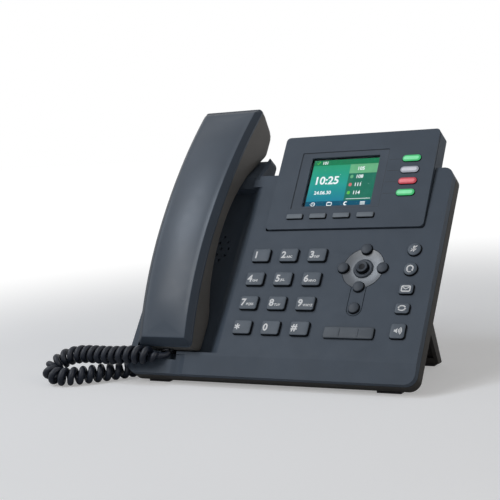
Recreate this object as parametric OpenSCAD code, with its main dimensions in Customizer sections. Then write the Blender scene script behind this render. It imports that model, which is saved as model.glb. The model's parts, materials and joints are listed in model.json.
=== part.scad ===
// Desk telephone for a data network: a sloping base with a colour display, a keypad and a corded handset.
// Millimetres, +Z up, the user looks along +Y. The origin is on the table, under the middle of the object.

/* [Base] */
// Width of the base
base_w = 209; // [206:0.5:212]
// Length of the sloping face, from its front edge to its upper edge
face_len = 152.5; // [151:0.5:154]
// Slope of the face above the table, in degrees
tilt = 52; // [51:0.5:53]
// Depth of the rim all round the base
rim_depth = 13.3; // [13:0.1:13.6]
// Depth of the front cover's own rim, down to the parting line
parting = 6; // [5.8:0.1:6.1]
// Depth of the rear housing behind the face
housing_depth = 22; // [21.5:0.1:22.5]
// Wall thickness of the moulded covers
wall = 2.2; // [2:0.1:2.4]
// Corner radius of the base seen from the front
corner_r = 7; // [6:0.5:8]

/* [Display] */
// Width of the display housing
display_w = 114.4; // [113:0.2:115]
// Length of the display housing up its own face
display_h = 73.5; // [72:0.5:75]
// Thickness of the display housing
display_t = 13; // [12.5:0.1:13.2]
// Tilt of the display housing from the sloping face, in degrees
display_tilt = 2; // [1.5:0.1:2.5]
// Width of the visible screen
screen_w = 49.9; // [49:0.1:50.5]
// Height of the visible screen
screen_h = 37.5; // [37:0.1:38]

/* [Keys] */
// Width of a digit key
key_w = 13.3; // [12.5:0.1:13.8]
// Height of a digit key
key_h = 9.9; // [9.2:0.1:10.4]
// Spacing of the digit keys across the face
key_pitch_x = 21; // [20.8:0.1:21.2]
// Spacing of the digit keys up the face
key_pitch_y = 17.9; // [17.7:0.1:18.1]
// How far a digit key stands out of the face
key_proud = 2.2; // [1.6:0.1:2.6]
// Travel of a digit key
key_travel = 1.2; // [0.8:0.1:1.2]
// Clearance between a key and its hole
key_gap = 0.3; // [0.25:0.05:0.4]

/* [Handset] */
// Width of the handset at the ear end
handset_w = 50; // [49:0.2:51]
// Width of the handset at the mouth end
handset_mouth_w = 42; // [40:0.5:44]
// Height of the handset's outer face above the sloping face, at its crown
handset_crown = 23.4; // [23:0.1:24]
// Thickness of the handset's shells
handset_wall = 2; // [1.8:0.1:2.2]

/* [Cord] */
// Outer diameter of the curly cord
coil_d = 12.8; // [12:0.1:12.9]
// Diameter of the straight leads at its ends
lead_d = 4.4; // [3.8:0.1:4.5]

/* [Hidden] */
$fn = 48;
eps = 0.01;

cover_grey = [0.31, 0.34, 0.38];
rear_grey = [0.25, 0.27, 0.3];
key_grey = [0.36, 0.39, 0.43];
cord_grey = [0.2, 0.22, 0.25];
board_green = [0.1, 0.35, 0.2];
metal = [0.7, 0.7, 0.72];

// Where the front edge of the sloping face lies above the table and behind the origin
foot_t = 1.6;
edge_z = rim_depth * cos(tilt) + foot_t;
edge_y = -67.5;

half_w = base_w / 2;
ear_top = 175.5;      // upper end of the cradle's ear rest, up the slope
ear_right = -39;      // right side of the ear rest
ear_rest_x = -42.5;   // right side of its dished slope
lip_y = 13.2;         // crease between the face and the front lip
lip_drop = 2.2;       // how far the lip falls back at the front edge
valley_x = -64;       // middle of the lip's valley beside the handset's end
valley_half = 6;
valley_depth = 1.3;
notch_x0 = -79;       // the cord's notch in the lip
notch_x1 = -66.5;
notch_y0 = 9.5;
notch_floor = 4.6;

// The cradle's tub
cradle_x0 = -99.5;
cradle_x1 = -48.5;    // where the floor begins to rise into the shoulder on the keys' side
shoulder_x = -34.5;   // where the shoulder runs out into the face
cradle_y0 = 15.2;
cradle_y1 = 143.5;
cradle_floor = 8.8;
ear_ledge_y = 152.8;
ear_ledge_z = -1.9;   // height of the ear rest's slope at ear_ledge_y
ear_slope = 30.6;     // slope of the ear rest below the face, in degrees
ear_wall_slope = 22;  // slope of the ear rest's side walls

// The display housing's place
display_x0 = -22.9;
display_y0 = 107.6;
display_z0 = 1.4;
display_r = 3;        // corner radius of the display housing
front_t = 1;          // thickness of its front plate, ahead of a fine groove
groove = 0.7;         // width and depth of that groove
pocket_floor = 12;
pocket_skin = 1.2;
screen_x0 = 1.1;
screen_y0 = 17.9;
bezel_x0 = -7.2;
bezel_w = 65.2;
bezel_y0 = 15.3;
bezel_h = 44.7;

// Rows and columns of keys
key_x0 = -20.4;
key_y0 = 87.4;
flange_t = 1;
flange_lip = 1;
nav_x = 55.9;
nav_y = 78;
nav_step = 13.7;
nav_r = 3.8;
nav_back_y = 49.1;
nav_plate_r = 14.4;
nav_tail_r = 5.2;
side_x = 88.8;
side_ys = [91, 76.9, 62.6, 49.1, 33.6];
side_r = 4.6;
side_sizes = [[9.2, 9.2], [9.2, 9.2], [9.5, 7.1], [9.5, 7.1], [9.9, 10.2]];
volume_x = 56.1;
volume_y = 31.7;
volume_w = 34.7;
volume_h = 6.5;
volume_pin_r = 0.8;   // the pin that the volume key rocks on
volume_pin_z = -3.2;
soft_x0 = -2.1;
soft_pitch = 17.35;
soft_y = 9.25;
soft_w = 12.1;
soft_h = 3.7;
line_x = 75.1;
line_ys = [51.2, 42.5, 33.9, 25.2];
line_w = 12.9;
line_h = 4.8;
speaker_x = -66;
speaker_y = 99;
speaker_r = 16;

// The rear housing, its port bay and its fixings
housing_x = 89;
housing_y0 = 18;
housing_y1 = 152;
bay_x0 = -86;
bay_x1 = 84;
bay_y0 = 21;
port_wall_y = 50;
bay_step_x = -35;     // left of this the bay lies under the cradle
bay_ceiling = 10.6;
bay_ceiling_left = 12.2;
rj45_xs = [2, 20];
rj45_z = -14.2;
rj9_xs = [-75, -56];
rj9_z = -15.6;
power_x = 52;
power_z = -14.6;
screw_points = [[-96, 8], [96, 8], [-92, 149], [99, 136]];
screw_r = 1.25;
hook_pin_y = 120;
hook_pin_z = -17;
hook_pin_r = 1.5;
hook_x = -73;

// The stand, in the upright plane, measured from the face's front edge
stand_half = 89;
slot_x = 50;          // the stand's two hooks: across, and the lower side of each up the slope
slot_y = 75.5;

// The handset's side view: crown and heel along the slope, and its underside
handset_x = -73;
heel_y = 16;
heel_z = 9.4;
crown_y = 98;
tip_y = 206.4;
tip_z = 8.6;
end_r = 3.4;          // corner radius of the outer face
heel_arc_r = ((crown_y - heel_y) ^ 2 + (handset_crown - heel_z) ^ 2) / (2 * (handset_crown - heel_z));
tip_arc_r = ((tip_y - crown_y) ^ 2 + (handset_crown - tip_z) ^ 2) / (2 * (handset_crown - tip_z));
grip_r = 121;
grip_y = 103;
grip_top = 9;
underside = [[16, 2], [17, -4.5], [19.5, -8.4], [40, -8.4], [47, -6], [57, -0.2],
    [150, -0.4], [153.5, -1.6], [181.5, -18.1], [195.5, -17.2], [198.5, -14.6], [202.6, -3], [206.4, 5.4]];
band_t = 3;           // depth of the bevel round the outer face
band_w = 4.2;         // width of that bevel
side_t = 4.2;         // depth of the outer shell's side, down to its parting line
corner_t = 2.2;       // depth and inset of the rounded lower corners
corner_w = 2.6;
plug_w = 7.6;
plug_t = 6.4;
plug_z = -0.4;
handset_plug_len = 9;
base_plug_len = 15;

// The cord's route, from the handset's plug round to the base's: a short lead, the coil and a lead again
route = [[-73, -58.4, 20.8], [-73.1, -59.6, 19.5], [-76.5, -63, 19.6], [-82, -65.8, 20.2],
    [-90, -67.4, 20.8], [-101, -68, 20.5], [-112, -67.6, 19.8], [-122, -67, 19.6], [-132, -66.2, 19.5],
    [-141.5, -66, 19], [-151, -67.4, 17.2], [-157, -71, 13.8], [-159.5, -75.5, 10.2], [-157, -79.5, 7.8],
    [-149.5, -81.2, 6.6], [-141, -78.5, 6.5], [-132, -71.8, 6.5], [-122.5, -63, 6.5], [-113.5, -53.5, 6.5],
    [-107, -43.5, 6.5], [-101, -35.5, 6.5], [-94, -32.5, 4.2], [-86, -32.5, 3.4], [-79, -33.5, 10],
    [-76, -34.6, 18], [-75, -33.6, 24.5], [-75, -30.9, 31.3], [-75, -28.4, 34.5]];
coil_from = 3.6;      // route points between which the cord is wound to its full diameter
coil_to = 20;
coil_fade = 1.6;      // over how many route points the winding tapers
cord_sides = 10;

// ---- helpers ----

// Places children on the sloping face: x across, y up the slope, z out of the face
module on_slope() {
    translate([0, edge_y, edge_z]) rotate([tilt, 0, 0]) children();
}

// Places children on the display's own face
module on_display() {
    on_slope() translate([0, display_y0, display_z0]) rotate([display_tilt, 0, 0]) children();
}

// A rounded rectangle by its centre, size and corner radius
module rounded(w, h, r) {
    square([w - 2 * r, h], center = true);
    square([w, h - 2 * r], center = true);
    for (x = [-1, 1], y = [-1, 1])
        translate([x * (w / 2 - r), y * (h / 2 - r)]) circle(r);
}

// A rounded plate by its corners, between two heights
module plate(x0, y0, x1, y1, z0, z1, r) {
    translate([(x0 + x1) / 2, (y0 + y1) / 2, z0])
        linear_extrude(z1 - z0) rounded(x1 - x0, y1 - y0, r);
}

// A box by two opposite corners
module box(a, b) {
    translate(a) cube(b - a);
}

// A pill: a slot shape with round ends
module pill(w, h) {
    square([w - h, h], center = true);
    for (x = [-1, 1]) translate([x * (w - h) / 2, 0]) circle(h / 2);
}

// ---- base covers ----

// The base's outline at an inset, with or without the ear rest
module base_slab(inset, z0, z1) {
    plate(-half_w + inset, inset, half_w - inset, face_len - inset, z0, z1, corner_r - inset);
}

module ear_block(inset, z0, z1) {
    plate(-half_w + inset, 120 + inset, ear_right - inset, ear_top - inset, z0, z1, corner_r - inset);
}

// Everything above the ear rest's side walls
module above_ear_walls(drop) {
    translate([-150, ear_ledge_y - 6, 1 - drop]) rotate([-ear_wall_slope, 0, 0])
        translate([0, -20, 0]) cube([150 + ear_right, 80, 40]);
}

// Everything above the dished ear rest, which the ear end lies on
module above_ear_rest(drop) {
    translate([cradle_x0, ear_ledge_y, ear_ledge_z - drop]) rotate([-ear_slope, 0, 0])
        translate([0, -20, 0]) cube([ear_rest_x - cradle_x0, 80, 40]);
    translate([cradle_x0, cradle_y1, ear_ledge_z - drop]) cube([ear_rest_x - cradle_x0, 9.4, 40]);
}

// The tub of the cradle, at an outward offset
module cradle_tub(grow, z1) {
    plate(cradle_x0 - grow, cradle_y0 - grow, cradle_x1 + grow, cradle_y1 + grow,
        -cradle_floor - grow, z1, 5);
}

// The soft S-shaped slope from the tub's floor up to the face, at a drop below its surface
module cradle_shoulder(drop, z1) {
    steps = 18;
    run = shoulder_x - cradle_x1;
    translate([0, cradle_y1 + drop, 0]) rotate([90, 0, 0])
        linear_extrude(cradle_y1 - cradle_y0 + 2 * drop) polygon(concat(
            [[cradle_x1 - 6, z1], [cradle_x1 - 6, -cradle_floor - drop]],
            [for (i = [0:steps]) [cradle_x1 + drop * 0.7 + run * i / steps,
                -drop - cradle_floor * (1 + cos(180 * i / steps)) / 2]],
            [[shoulder_x + drop * 0.7, z1]]));
}

// The lip's slanting front, cut from the face
module above_lip(drop) {
    translate([-150, lip_y, -drop]) rotate([atan2(lip_drop, lip_y), 0, 0])
        translate([0, -40, 0]) cube([300, 40, 20]);
}

module key_holes() {
    for (i = [0:11])
        translate([key_x(i), key_y(i), -10]) linear_extrude(20)
            rounded(key_w + 2 * key_gap, key_h + 2 * key_gap, 1.8);
    for (p = nav_points()) translate([p[0], p[1], -10]) cylinder(r = nav_r + key_gap, h = 20);
    for (i = [0:1]) translate([side_x, side_ys[i], -10]) cylinder(r = side_r + key_gap, h = 20);
    for (i = [2:4])
        translate([side_x, side_ys[i], -10]) linear_extrude(20)
            rounded(side_sizes[i][0] + 2 * key_gap, side_sizes[i][1] + 2 * key_gap, 2);
    translate([volume_x, volume_y, -10]) linear_extrude(20)
        rounded(volume_w + 2 * key_gap, volume_h + 2 * key_gap, 1.5);
}

// Holes over the loudspeaker, on two rings
module speaker_holes() {
    translate([speaker_x, speaker_y, -20]) {
        cylinder(r = 1.1, h = 20, $fn = 16);
        for (ring = [1, 2], i = [0:6 * ring - 1])
            rotate(i * 60 / ring) translate([5.4 * ring, 0, 0]) cylinder(r = 1.1, h = 20, $fn = 16);
    }
}

module screw_bosses(r, z0, z1) {
    for (p = screw_points) translate([p[0], p[1], z0]) cylinder(r = r, h = z1 - z0, $fn = 24);
}

module front_cover() {
    color(cover_grey) on_slope() difference() {
        union() {
            difference() {
                union() {
                    base_slab(0, -parting, 0);
                    intersection() {
                        ear_block(0, -17, 0);
                        box([-200, ear_ledge_y, -20], [0, 200, 5]);
                    }
                    intersection() {
                        ear_block(0, -parting, 0);
                        box([-200, 130, -20], [0, 200, 5]);
                    }
                }
                base_slab(wall, -parting - 1, -wall);
                intersection() {
                    ear_block(wall, -20, -wall - 1);
                    box([-200, ear_ledge_y + wall, -30], [0, 200, 5]);
                    difference() {
                        box([-200, 0, -30], [0, 200, 5]);
                        above_ear_rest(wall);
                        above_ear_walls(wall);
                    }
                }
            }
            cradle_tub(wall, -1);
            cradle_shoulder(wall, -1);
            // a deeper wall behind the lip, and the notch's floor
            plate(-half_w + 1, 1, half_w - 1, lip_y, -wall - lip_drop, -1, corner_r - 1);
            box([notch_x0 - wall, notch_y0 - wall, -parting + 0.1], [notch_x1 + wall, cradle_y0, -1]);
            box([cradle_x0 - wall, cradle_y1, ear_ledge_z - wall], [ear_right - wall, ear_ledge_y + 1, -1]);
            plate(display_x0 - 0.6 - wall, display_y0 - 0.6 - wall, display_x0 + display_w + 0.6 + wall,
                face_len - wall, -pocket_floor - pocket_skin, -1, 2);
            screw_bosses(3, -9, -1);
            for (s = [-1, 1])
                box([hook_x + s * 6.2 - 1.2, hook_pin_y - 3, hook_pin_z - 2.6],
                    [hook_x + s * 6.2 + 1.2, hook_pin_y + 3, -cradle_floor - 1]);
        }
        above_lip(0);
        above_ear_walls(0);
        above_ear_rest(0);
        cradle_tub(0, 10);
        cradle_shoulder(0, 10);
        plate(display_x0 - 0.6, display_y0 - 0.6, display_x0 + display_w + 0.6,
            face_len + 20, -pocket_floor, 5, 2);
        key_holes();
        speaker_holes();
        nav_recess(0.2);
        translate([hook_x - 4, 144.6, -20]) cube([8, 6.2, 25]);
        translate([hook_x - 12, hook_pin_y, hook_pin_z]) rotate([0, 90, 0])
            cylinder(r = hook_pin_r + 0.05, h = 24);
        screw_bosses(screw_r + 0.05, -10, -3);
        cord_groove();
    }
}

// The shallow valley down the lip beside the handset's end, and the cord's notch in the tub's edge
module cord_groove() {
    steps = 6;
    translate([valley_x, lip_y, 0]) rotate([atan2(lip_drop, lip_y), 0, 0]) rotate([90, 0, 0])
        linear_extrude(20) polygon(concat([[-valley_half, 3]],
            [for (i = [-steps:steps])
                [valley_half * i / steps, 0.1 - valley_depth * (1 + cos(180 * i / steps)) / 2]],
            [[valley_half, 3]]));
    box([notch_x0, notch_y0, -notch_floor], [notch_x1, cradle_y0 + 1, 5]);
}

// The nav plate's recess and its tail, at a growth
module nav_recess(grow) {
    translate([nav_x, nav_y, -0.8]) linear_extrude(5) nav_shape(grow);
}

module nav_shape(grow) {
    circle(nav_plate_r + grow);
    translate([-nav_tail_r - grow, nav_back_y - nav_y])
        square([2 * (nav_tail_r + grow), nav_y - nav_back_y]);
    translate([0, nav_back_y - nav_y]) circle(nav_tail_r + grow);
}

// The whole solid of the port bay's walls, or its clear space
module bay_walls() {
    box([bay_x0 - wall, bay_y0 - wall, -housing_depth],
        [bay_step_x, port_wall_y + wall, -bay_ceiling_left + 1]);
    box([bay_step_x - wall, bay_y0 - wall, -housing_depth],
        [bay_x1 + wall, port_wall_y + wall, -bay_ceiling + 1.8]);
}

module bay_space() {
    box([bay_x0, bay_y0, -30], [bay_step_x + eps, port_wall_y, -bay_ceiling_left]);
    box([bay_step_x, bay_y0, -30], [bay_x1, port_wall_y, -bay_ceiling]);
}

// A jack's outline through the port wall
module port_hole(x, z, w, h) {
    box([x - w / 2, port_wall_y - 1, z - h / 2], [x + w / 2, port_wall_y + wall + 1, z + h / 2]);
}

module port_holes(gap) {
    for (x = rj45_xs) port_hole(x, rj45_z, 16 + gap, 11.2 + gap);
    for (x = rj9_xs) port_hole(x, rj9_z, 11 + gap, 8 + gap);
    port_hole(power_x, power_z, 9 + gap, 10.4 + gap);
}

module rear_cover() {
    color(rear_grey) on_slope() difference() {
        union() {
            difference() {
                union() {
                    base_slab(0, -rim_depth, -parting - 0.3);
                    plate(-housing_x, housing_y0, housing_x, housing_y1,
                        -housing_depth, -rim_depth + eps, 8);
                }
                base_slab(wall, -rim_depth + wall, 0);
                plate(-housing_x + wall, housing_y0 + wall, housing_x - wall, housing_y1 - wall,
                    -housing_depth + wall, -rim_depth + wall + 1, 6);
            }
            bay_walls();
            screw_bosses(3, -rim_depth + eps, -9.3);
        }
        bay_space();
        port_holes(0.3);
        // the display housing's pocket reaches into the rear cover and through its upper rim
        box([display_x0 - 4, display_y0 - 4, -pocket_floor - pocket_skin - 0.3],
            [display_x0 + display_w + 3.4, 160, 0]);
        // screws with sunk heads
        screw_bosses(screw_r + 0.35, -30, 0);
        screw_bosses(2.8, -30, -rim_depth + 1.6);
        screw_bosses(3.1, -9.3, 0);
        // slots for the stand's hooks
        for (s = [-1, 1]) box([s * slot_x - 6, slot_y - 0.3, -30], [s * slot_x + 6, slot_y + 3.4, 0]);
        // cooling slots
        for (i = [0:8]) box([8 * i - 33, 108, -30], [8 * i - 31, 130, -housing_depth + wall + 1]);
    }
}

module case_screws() {
    color(metal) on_slope() for (p = screw_points) translate([p[0], p[1], 0]) difference() {
        union() {
            translate([0, 0, -rim_depth + 0.2]) cylinder(r = 2.5, h = 1.4, $fn = 32);
            translate([0, 0, -rim_depth + 1]) cylinder(r = screw_r, h = rim_depth - 4.4, $fn = 32);
        }
        translate([0, 0, -rim_depth]) for (a = [0, 90]) rotate(a) box([-1.7, -0.35, -1], [1.7, 0.35, 1]);
    }
}

// ---- display ----

module display_plate(inset, z0, z1, r) {
    plate(inset, inset, display_w - inset, display_h - inset, z0, z1, r);
}

module in_display() {
    on_display() translate([display_x0, 0, 0]) children();
}

module display_housing() {
    color(cover_grey) in_display() difference() {
        union() {
            display_plate(0, -front_t, 0, display_r);
            display_plate(groove, -front_t - groove - eps, -front_t + eps, display_r - groove);
            display_plate(0, -display_t, -front_t - groove, display_r);
        }
        display_plate(wall, -display_t - 1, -6.2, 1.5);
        translate([-display_x0, 0, 0]) {
            plate(bezel_x0, bezel_y0, bezel_x0 + bezel_w, bezel_y0 + bezel_h, -0.5, 1, 1);
            plate(screen_x0 - 0.4, screen_y0 - 0.4, screen_x0 + screen_w + 0.4, screen_y0 + screen_h + 0.4,
                -8, 1, 0.6);
            plate(screen_x0 - 3, screen_y0 - 3, screen_x0 + screen_w + 3, screen_y0 + screen_h + 3,
                -8, -2, 1);
            for (i = [0:3]) soft_place(i) linear_extrude(20, center = true)
                rounded(soft_w + 2 * key_gap, soft_h + 2 * key_gap, 1);
            for (i = [0:3]) line_place(i) linear_extrude(20, center = true)
                pill(line_w + 2 * key_gap, line_h + 2 * key_gap);
        }
        indicator_shape(0.1);
    }
}

module indicator_shape(grow) {
    box([display_w - 23 - grow, display_h - 3.4 - grow, -3.4 - grow],
        [display_w - 9 + grow, display_h + 0.3, -1.6 + grow]);
}

module indicator_lens() {
    color([0.8, 0.08, 0.1]) in_display() intersection() {
        indicator_shape(0);
        display_plate(-0.2, -display_t, 0, display_r);
    }
}

module display_back() {
    color(rear_grey) in_display() difference() {
        display_plate(wall + 0.2, -display_t, -display_t + 1.6, 1.4);
        for (i = [0:4]) box([28 + 12 * i, display_h - 12, -20], [34 + 12 * i, display_h - 10, 0]);
    }
}

module display_lens() {
    color([0.1, 0.12, 0.14, 0.5]) on_display()
        plate(screen_x0 - 0.2, screen_y0 - 0.2, screen_x0 + screen_w + 0.2, screen_y0 + screen_h + 0.2,
            -2, -0.8, 0.5);
}

module lcd_panel() {
    color([0.15, 0.5, 0.4]) on_display()
        plate(screen_x0 - 2.6, screen_y0 - 2.6, screen_x0 + screen_w + 2.6, screen_y0 + screen_h + 2.6,
            -4.4, -2.1, 0.6);
}

// ---- boards, jacks and the loudspeaker ----

module main_board() {
    color(board_green) on_slope() difference() {
        union() {
            box([-34, 68.5, -15.4], [84, 126, -13.8]);
            box([-10, 84, -17], [6, 100, -15.4]);
            box([20, 86, -16.6], [34, 96, -15.4]);
            box([44, 80, -17.9], [52, 92, -15.4]);
            for (i = [0:5]) box([-28 + 6 * i, 108, -16.8], [-24 + 6 * i, 112, -15.4]);
        }
        for (p = [[-30, 73], [80, 73], [-30, 121], [80, 121]])
            translate([p[0], p[1], -20]) cylinder(r = 1.6, h = 10);
    }
}

module keypad_board() {
    color(board_green) on_slope() difference() {
        box([-31, 20, -7.6], [99, 100, -6]);
        for (p = [[-28, 60], [95, 23], [95, 97], [10, 23]])
            translate([p[0], p[1], -20]) cylinder(r = 1.6, h = 20);
    }
}

// The rubber sheet under the keys, with a low pad at each key
module key_mat() {
    color([0.75, 0.75, 0.72]) on_slope() {
        difference() {
            box([-30, 24, -5.9], [98, 99, -5.3]);
            box([32, 98, -7], [33, 100, 0]);
        }
        for (p = pad_points()) translate([p[0], p[1], -5.4])
            cylinder(r = 2.6, h = 5.15 - wall - 0.3 - flange_t - key_travel, $fn = 24);
    }
}

function pad_points() = concat([for (i = [0:11]) [key_x(i), key_y(i)]], nav_points(),
    [for (y = side_ys) [side_x, y]], [for (s = [-1, 1]) [volume_x + s * 11, volume_y]]);

module nav_plate() {
    color([0.62, 0.65, 0.68]) on_slope() difference() {
        translate([nav_x, nav_y, -0.8]) linear_extrude(0.9) nav_shape(0);
        for (p = nav_points()) translate([p[0], p[1], -10]) cylinder(r = nav_r + key_gap, h = 20);
    }
}

module loudspeaker() {
    color(metal) on_slope() translate([speaker_x, speaker_y, -17.4]) difference() {
        union() {
            cylinder(r = speaker_r - 5, h = 4);
            translate([0, 0, 3]) cylinder(r = speaker_r, h = 3);
        }
        translate([0, 0, 4]) cylinder(r1 = 6, r2 = speaker_r - 2, h = 3);
    }
}

module hook_switch() {
    color([0.12, 0.12, 0.12]) on_slope() {
        box([hook_x + 4.2, 132, -19.6], [hook_x + 10.2, 144, -12.5]);
        box([hook_x + 3.6, 136, -16], [hook_x + 4.3, 140, -14.6]);
    }
}

// A jack body with its socket, its face on the port wall
module jack(x, z, w, h, d, hole_w, hole_h, hole_d) {
    difference() {
        box([x - w / 2, port_wall_y + 0.2, z - h / 2], [x + w / 2, port_wall_y + d, z + h / 2]);
        box([x - hole_w / 2, port_wall_y - 1, z - hole_h / 2],
            [x + hole_w / 2, port_wall_y + hole_d, z + hole_h / 2]);
    }
}

module network_jacks() {
    color([0.08, 0.08, 0.08]) on_slope() for (x = rj45_xs) {
        difference() {
            jack(x, rj45_z, 16, 11.2, 18, 11.8, 7.8, 12);
            box([x - 3, port_wall_y - 1, rj45_z - 5.2], [x + 3, port_wall_y + 8, rj45_z]);
        }
        // the row of contacts
        for (i = [0:7])
            box([x - 3.9 + i * 1.02, port_wall_y + 2, rj45_z + 2.6],
                [x - 3.4 + i * 1.02, port_wall_y + 12.5, rj45_z + 4]);
    }
}

module handset_jacks() {
    color([0.08, 0.08, 0.08]) on_slope() for (x = rj9_xs)
        jack(x, rj9_z, 11, 8, 13, plug_w + 0.2, plug_t + 0.2, 9);
}

module power_jack() {
    color([0.08, 0.08, 0.08]) on_slope() difference() {
        jack(power_x, power_z, 9, 10.4, 14, 0.1, 0.1, 0.3);
        translate([power_x, port_wall_y - 1, power_z]) rotate([-90, 0, 0]) cylinder(r = 2.75, h = 11);
    }
    color(metal) on_slope() translate([power_x, port_wall_y + 1.5, power_z]) rotate([-90, 0, 0])
        cylinder(r = 1, h = 10, $fn = 24);
}

// ---- stand and feet ----

// A solid of the stand's side view, in upright Y and Z from the face's front edge
module side_view(points, x0, x1) {
    translate([x0, edge_y, edge_z]) rotate([90, 0, 90]) linear_extrude(x1 - x0) polygon(points);
}

module stand() {
    stand_top = [66.9, 49.2];
    gusset_top = [60.6, 41];
    foot_back = [89.6, -8.2];
    foot_front = [83.8, -8.2];
    plate_front = [63.6, 45];
    plate_foot = [86.3, -8.2];
    color(rear_grey) {
        difference() {
            side_view([plate_front, stand_top, foot_back, plate_foot], -stand_half, stand_half);
            // the window that the cables pass through
            translate([0, edge_y + 77, edge_z + 17]) rotate([90, 0, 0])
                linear_extrude(60, center = true) rounded(124, 34, 8);
        }
        for (s = [-1, 1])
            side_view([gusset_top, stand_top, foot_back, foot_front], s > 0 ? stand_half - 2.6 : -stand_half,
                s > 0 ? stand_half : -stand_half + 2.6);
        side_view([[82.2, -4], [84.6, -4], foot_back, foot_front], -stand_half, stand_half);
        on_slope() for (s = [-1, 1]) {
            box([s * slot_x - 5.8, slot_y, -24.5], [s * slot_x + 5.8, slot_y + 3, -18.4]);
            box([s * slot_x - 5.8, slot_y, -19.6], [s * slot_x + 5.8, slot_y + 6.5, -18.2]);
        }
    }
}

module rubber_feet() {
    color([0.1, 0.1, 0.1]) for (s = [-1, 1]) {
        // front feet, behind the base's lower corner
        difference() {
            side_view([[11.2, -5], [11.4, -edge_z], [19.4, -edge_z], [19, 3.4], [14, 2]],
                s * 84 - 8, s * 84 + 8);
            on_slope() base_slab(0, -rim_depth, 1);
        }
        side_view([[83.5, -8.25], [83.5, -edge_z], [89.5, -edge_z], [89.5, -8.25]], s * 78 - 8, s * 78 + 8);
    }
}

// ---- keys ----

function key_x(i) = key_x0 + (i % 3) * key_pitch_x;
function key_y(i) = key_y0 - floor(i / 3) * key_pitch_y;
function nav_points() = [[nav_x, nav_y + nav_step], [nav_x, nav_y - nav_step], [nav_x - nav_step, nav_y],
    [nav_x + nav_step, nav_y], [nav_x, nav_y], [nav_x, nav_back_y]];

module soft_place(i) {
    translate([soft_x0 + i * soft_pitch, soft_y, 0]) children();
}

module line_place(i) {
    translate([line_x, line_ys[i], 0]) children();
}

// A key with a flange under the cover, its 2D outline as children
module key_body(w, h, proud, r) {
    translate([0, 0, -wall - 1.2]) linear_extrude(proud + wall + 1.2) rounded(w, h, r);
    translate([0, 0, -wall - 0.3 - flange_t]) linear_extrude(flange_t)
        rounded(w + 2 * flange_lip, h + 2 * flange_lip, r);
}

module round_key(r, proud) {
    translate([0, 0, -wall - 1.2]) cylinder(r = r, h = proud + wall + 1.2);
    translate([0, 0, -wall - 0.3 - flange_t]) cylinder(r = r + 0.9, h = flange_t);
}

module digit_key(i) {
    color(key_grey) on_slope() translate([key_x(i), key_y(i), 0]) key_body(key_w, key_h, key_proud, 1.6);
}

module nav_key(i) {
    p = nav_points()[i];
    color(key_grey) on_slope() translate([p[0], p[1], 0]) difference() {
        round_key(nav_r, i == 4 ? 2.6 : 2);
        if (i == 4) translate([0, 0, 14.2]) sphere(r = 12, $fn = 64);
    }
}

module side_key(i) {
    color(key_grey) on_slope() translate([side_x, side_ys[i], 0]) {
        if (i < 2) round_key(side_r, 1.8);
        else key_body(side_sizes[i][0], side_sizes[i][1], 1.8, 1.7);
    }
}

module soft_key(i) {
    color(key_grey) on_display() soft_place(i) {
        translate([0, 0, -6.6]) linear_extrude(8) rounded(soft_w, soft_h, 0.7);
        translate([0, 0, -7.4]) linear_extrude(0.9) rounded(soft_w + 2, soft_h + 2, 0.7);
    }
}

module line_key(i) {
    lit = i == 1 ? [0.8, 0.8, 0.8] : i == 2 ? [0.85, 0.2, 0.25] : [0.2, 0.7, 0.4];
    color(lit) on_display() line_place(i) {
        translate([0, 0, -6.6]) linear_extrude(7.8) pill(line_w, line_h);
        translate([0, 0, -7.4]) linear_extrude(0.9) pill(line_w + 2, line_h + 2);
    }
}

module volume_rocker() {
    color(key_grey) on_slope() translate([volume_x, volume_y, 0]) difference() {
        union() {
            translate([0, 0, -3.9]) linear_extrude(5.5) rounded(volume_w - 0.4, volume_h, 1.2);
            translate([0, 0, -3.9]) linear_extrude(0.8) rounded(volume_w - 10, volume_h + 2.4, 1);
            translate([0, volume_h / 2 + 2, volume_pin_z]) rotate([90, 0, 0])
                cylinder(r = volume_pin_r, h = volume_h + 4, $fn = 24);
        }
        for (x = [-6, 6]) translate([x, 0, 1.4]) linear_extrude(1) square([0.7, volume_h + 2], center = true);
    }
}

module hook_lever() {
    color(key_grey) on_slope() {
        box([hook_x - 3, hook_pin_y - 2, -18.5], [hook_x + 3, 149.4, -15.5]);
        box([hook_x - 3, 146.6, -18.5], [hook_x + 3, 149.4, -0.8]);
        translate([hook_x - 9, hook_pin_y, hook_pin_z]) rotate([0, 90, 0]) cylinder(r = hook_pin_r, h = 18);
    }
}

// ---- handset ----

// Height of the outer face along the slope: two tangent arcs that meet at the crown
function top_at(y) =
    let (r = y < crown_y ? heel_arc_r : tip_arc_r)
    handset_crown - r + sqrt(r ^ 2 - (y - crown_y) ^ 2);

// Height of the underside: an arc along the grip, straight runs at the heads
function under_at(y) = y > 57 && y < 150 ? grip_top - grip_r + sqrt(grip_r ^ 2 - (y - grip_y) ^ 2)
    : lookup(y, underside);

// Half width along the slope: an even taper, rounded in at both ends
function half_at(y) =
    let (even = (handset_mouth_w + (handset_w - handset_mouth_w) * (y - heel_y) / (tip_y - heel_y)) / 2,
        end = min(y - heel_y, tip_y - y), r = end_r)
    even - (end < r ? r - sqrt(r ^ 2 - (r - end) ^ 2) : 0);

// One cross-section, inset by t, as points across and out of the face
function handset_ring(y, t) =
    let (h = half_at(y) - t, z1 = top_at(y) - t, z0 = min(under_at(y) + t, z1 - 1),
        drop = min(band_t, (z1 - z0) * 0.3), side = min(side_t + 0.1, (z1 - z0) * 0.6),
        low = min(corner_t, (z1 - z0) * 0.2),
        right = [[h * 0.5, z1 + 0.5], [h - band_w, z1], [h, z1 - drop], [h - 0.2, z1 - side],
            [h - 0.6, z0 + low], [h - corner_w, z0]])
    concat([for (p = right) [handset_x + p[0], y, p[1]]],
        [for (i = [len(right) - 1:-1:0]) [handset_x - right[i][0], y, right[i][1]]]);

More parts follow.
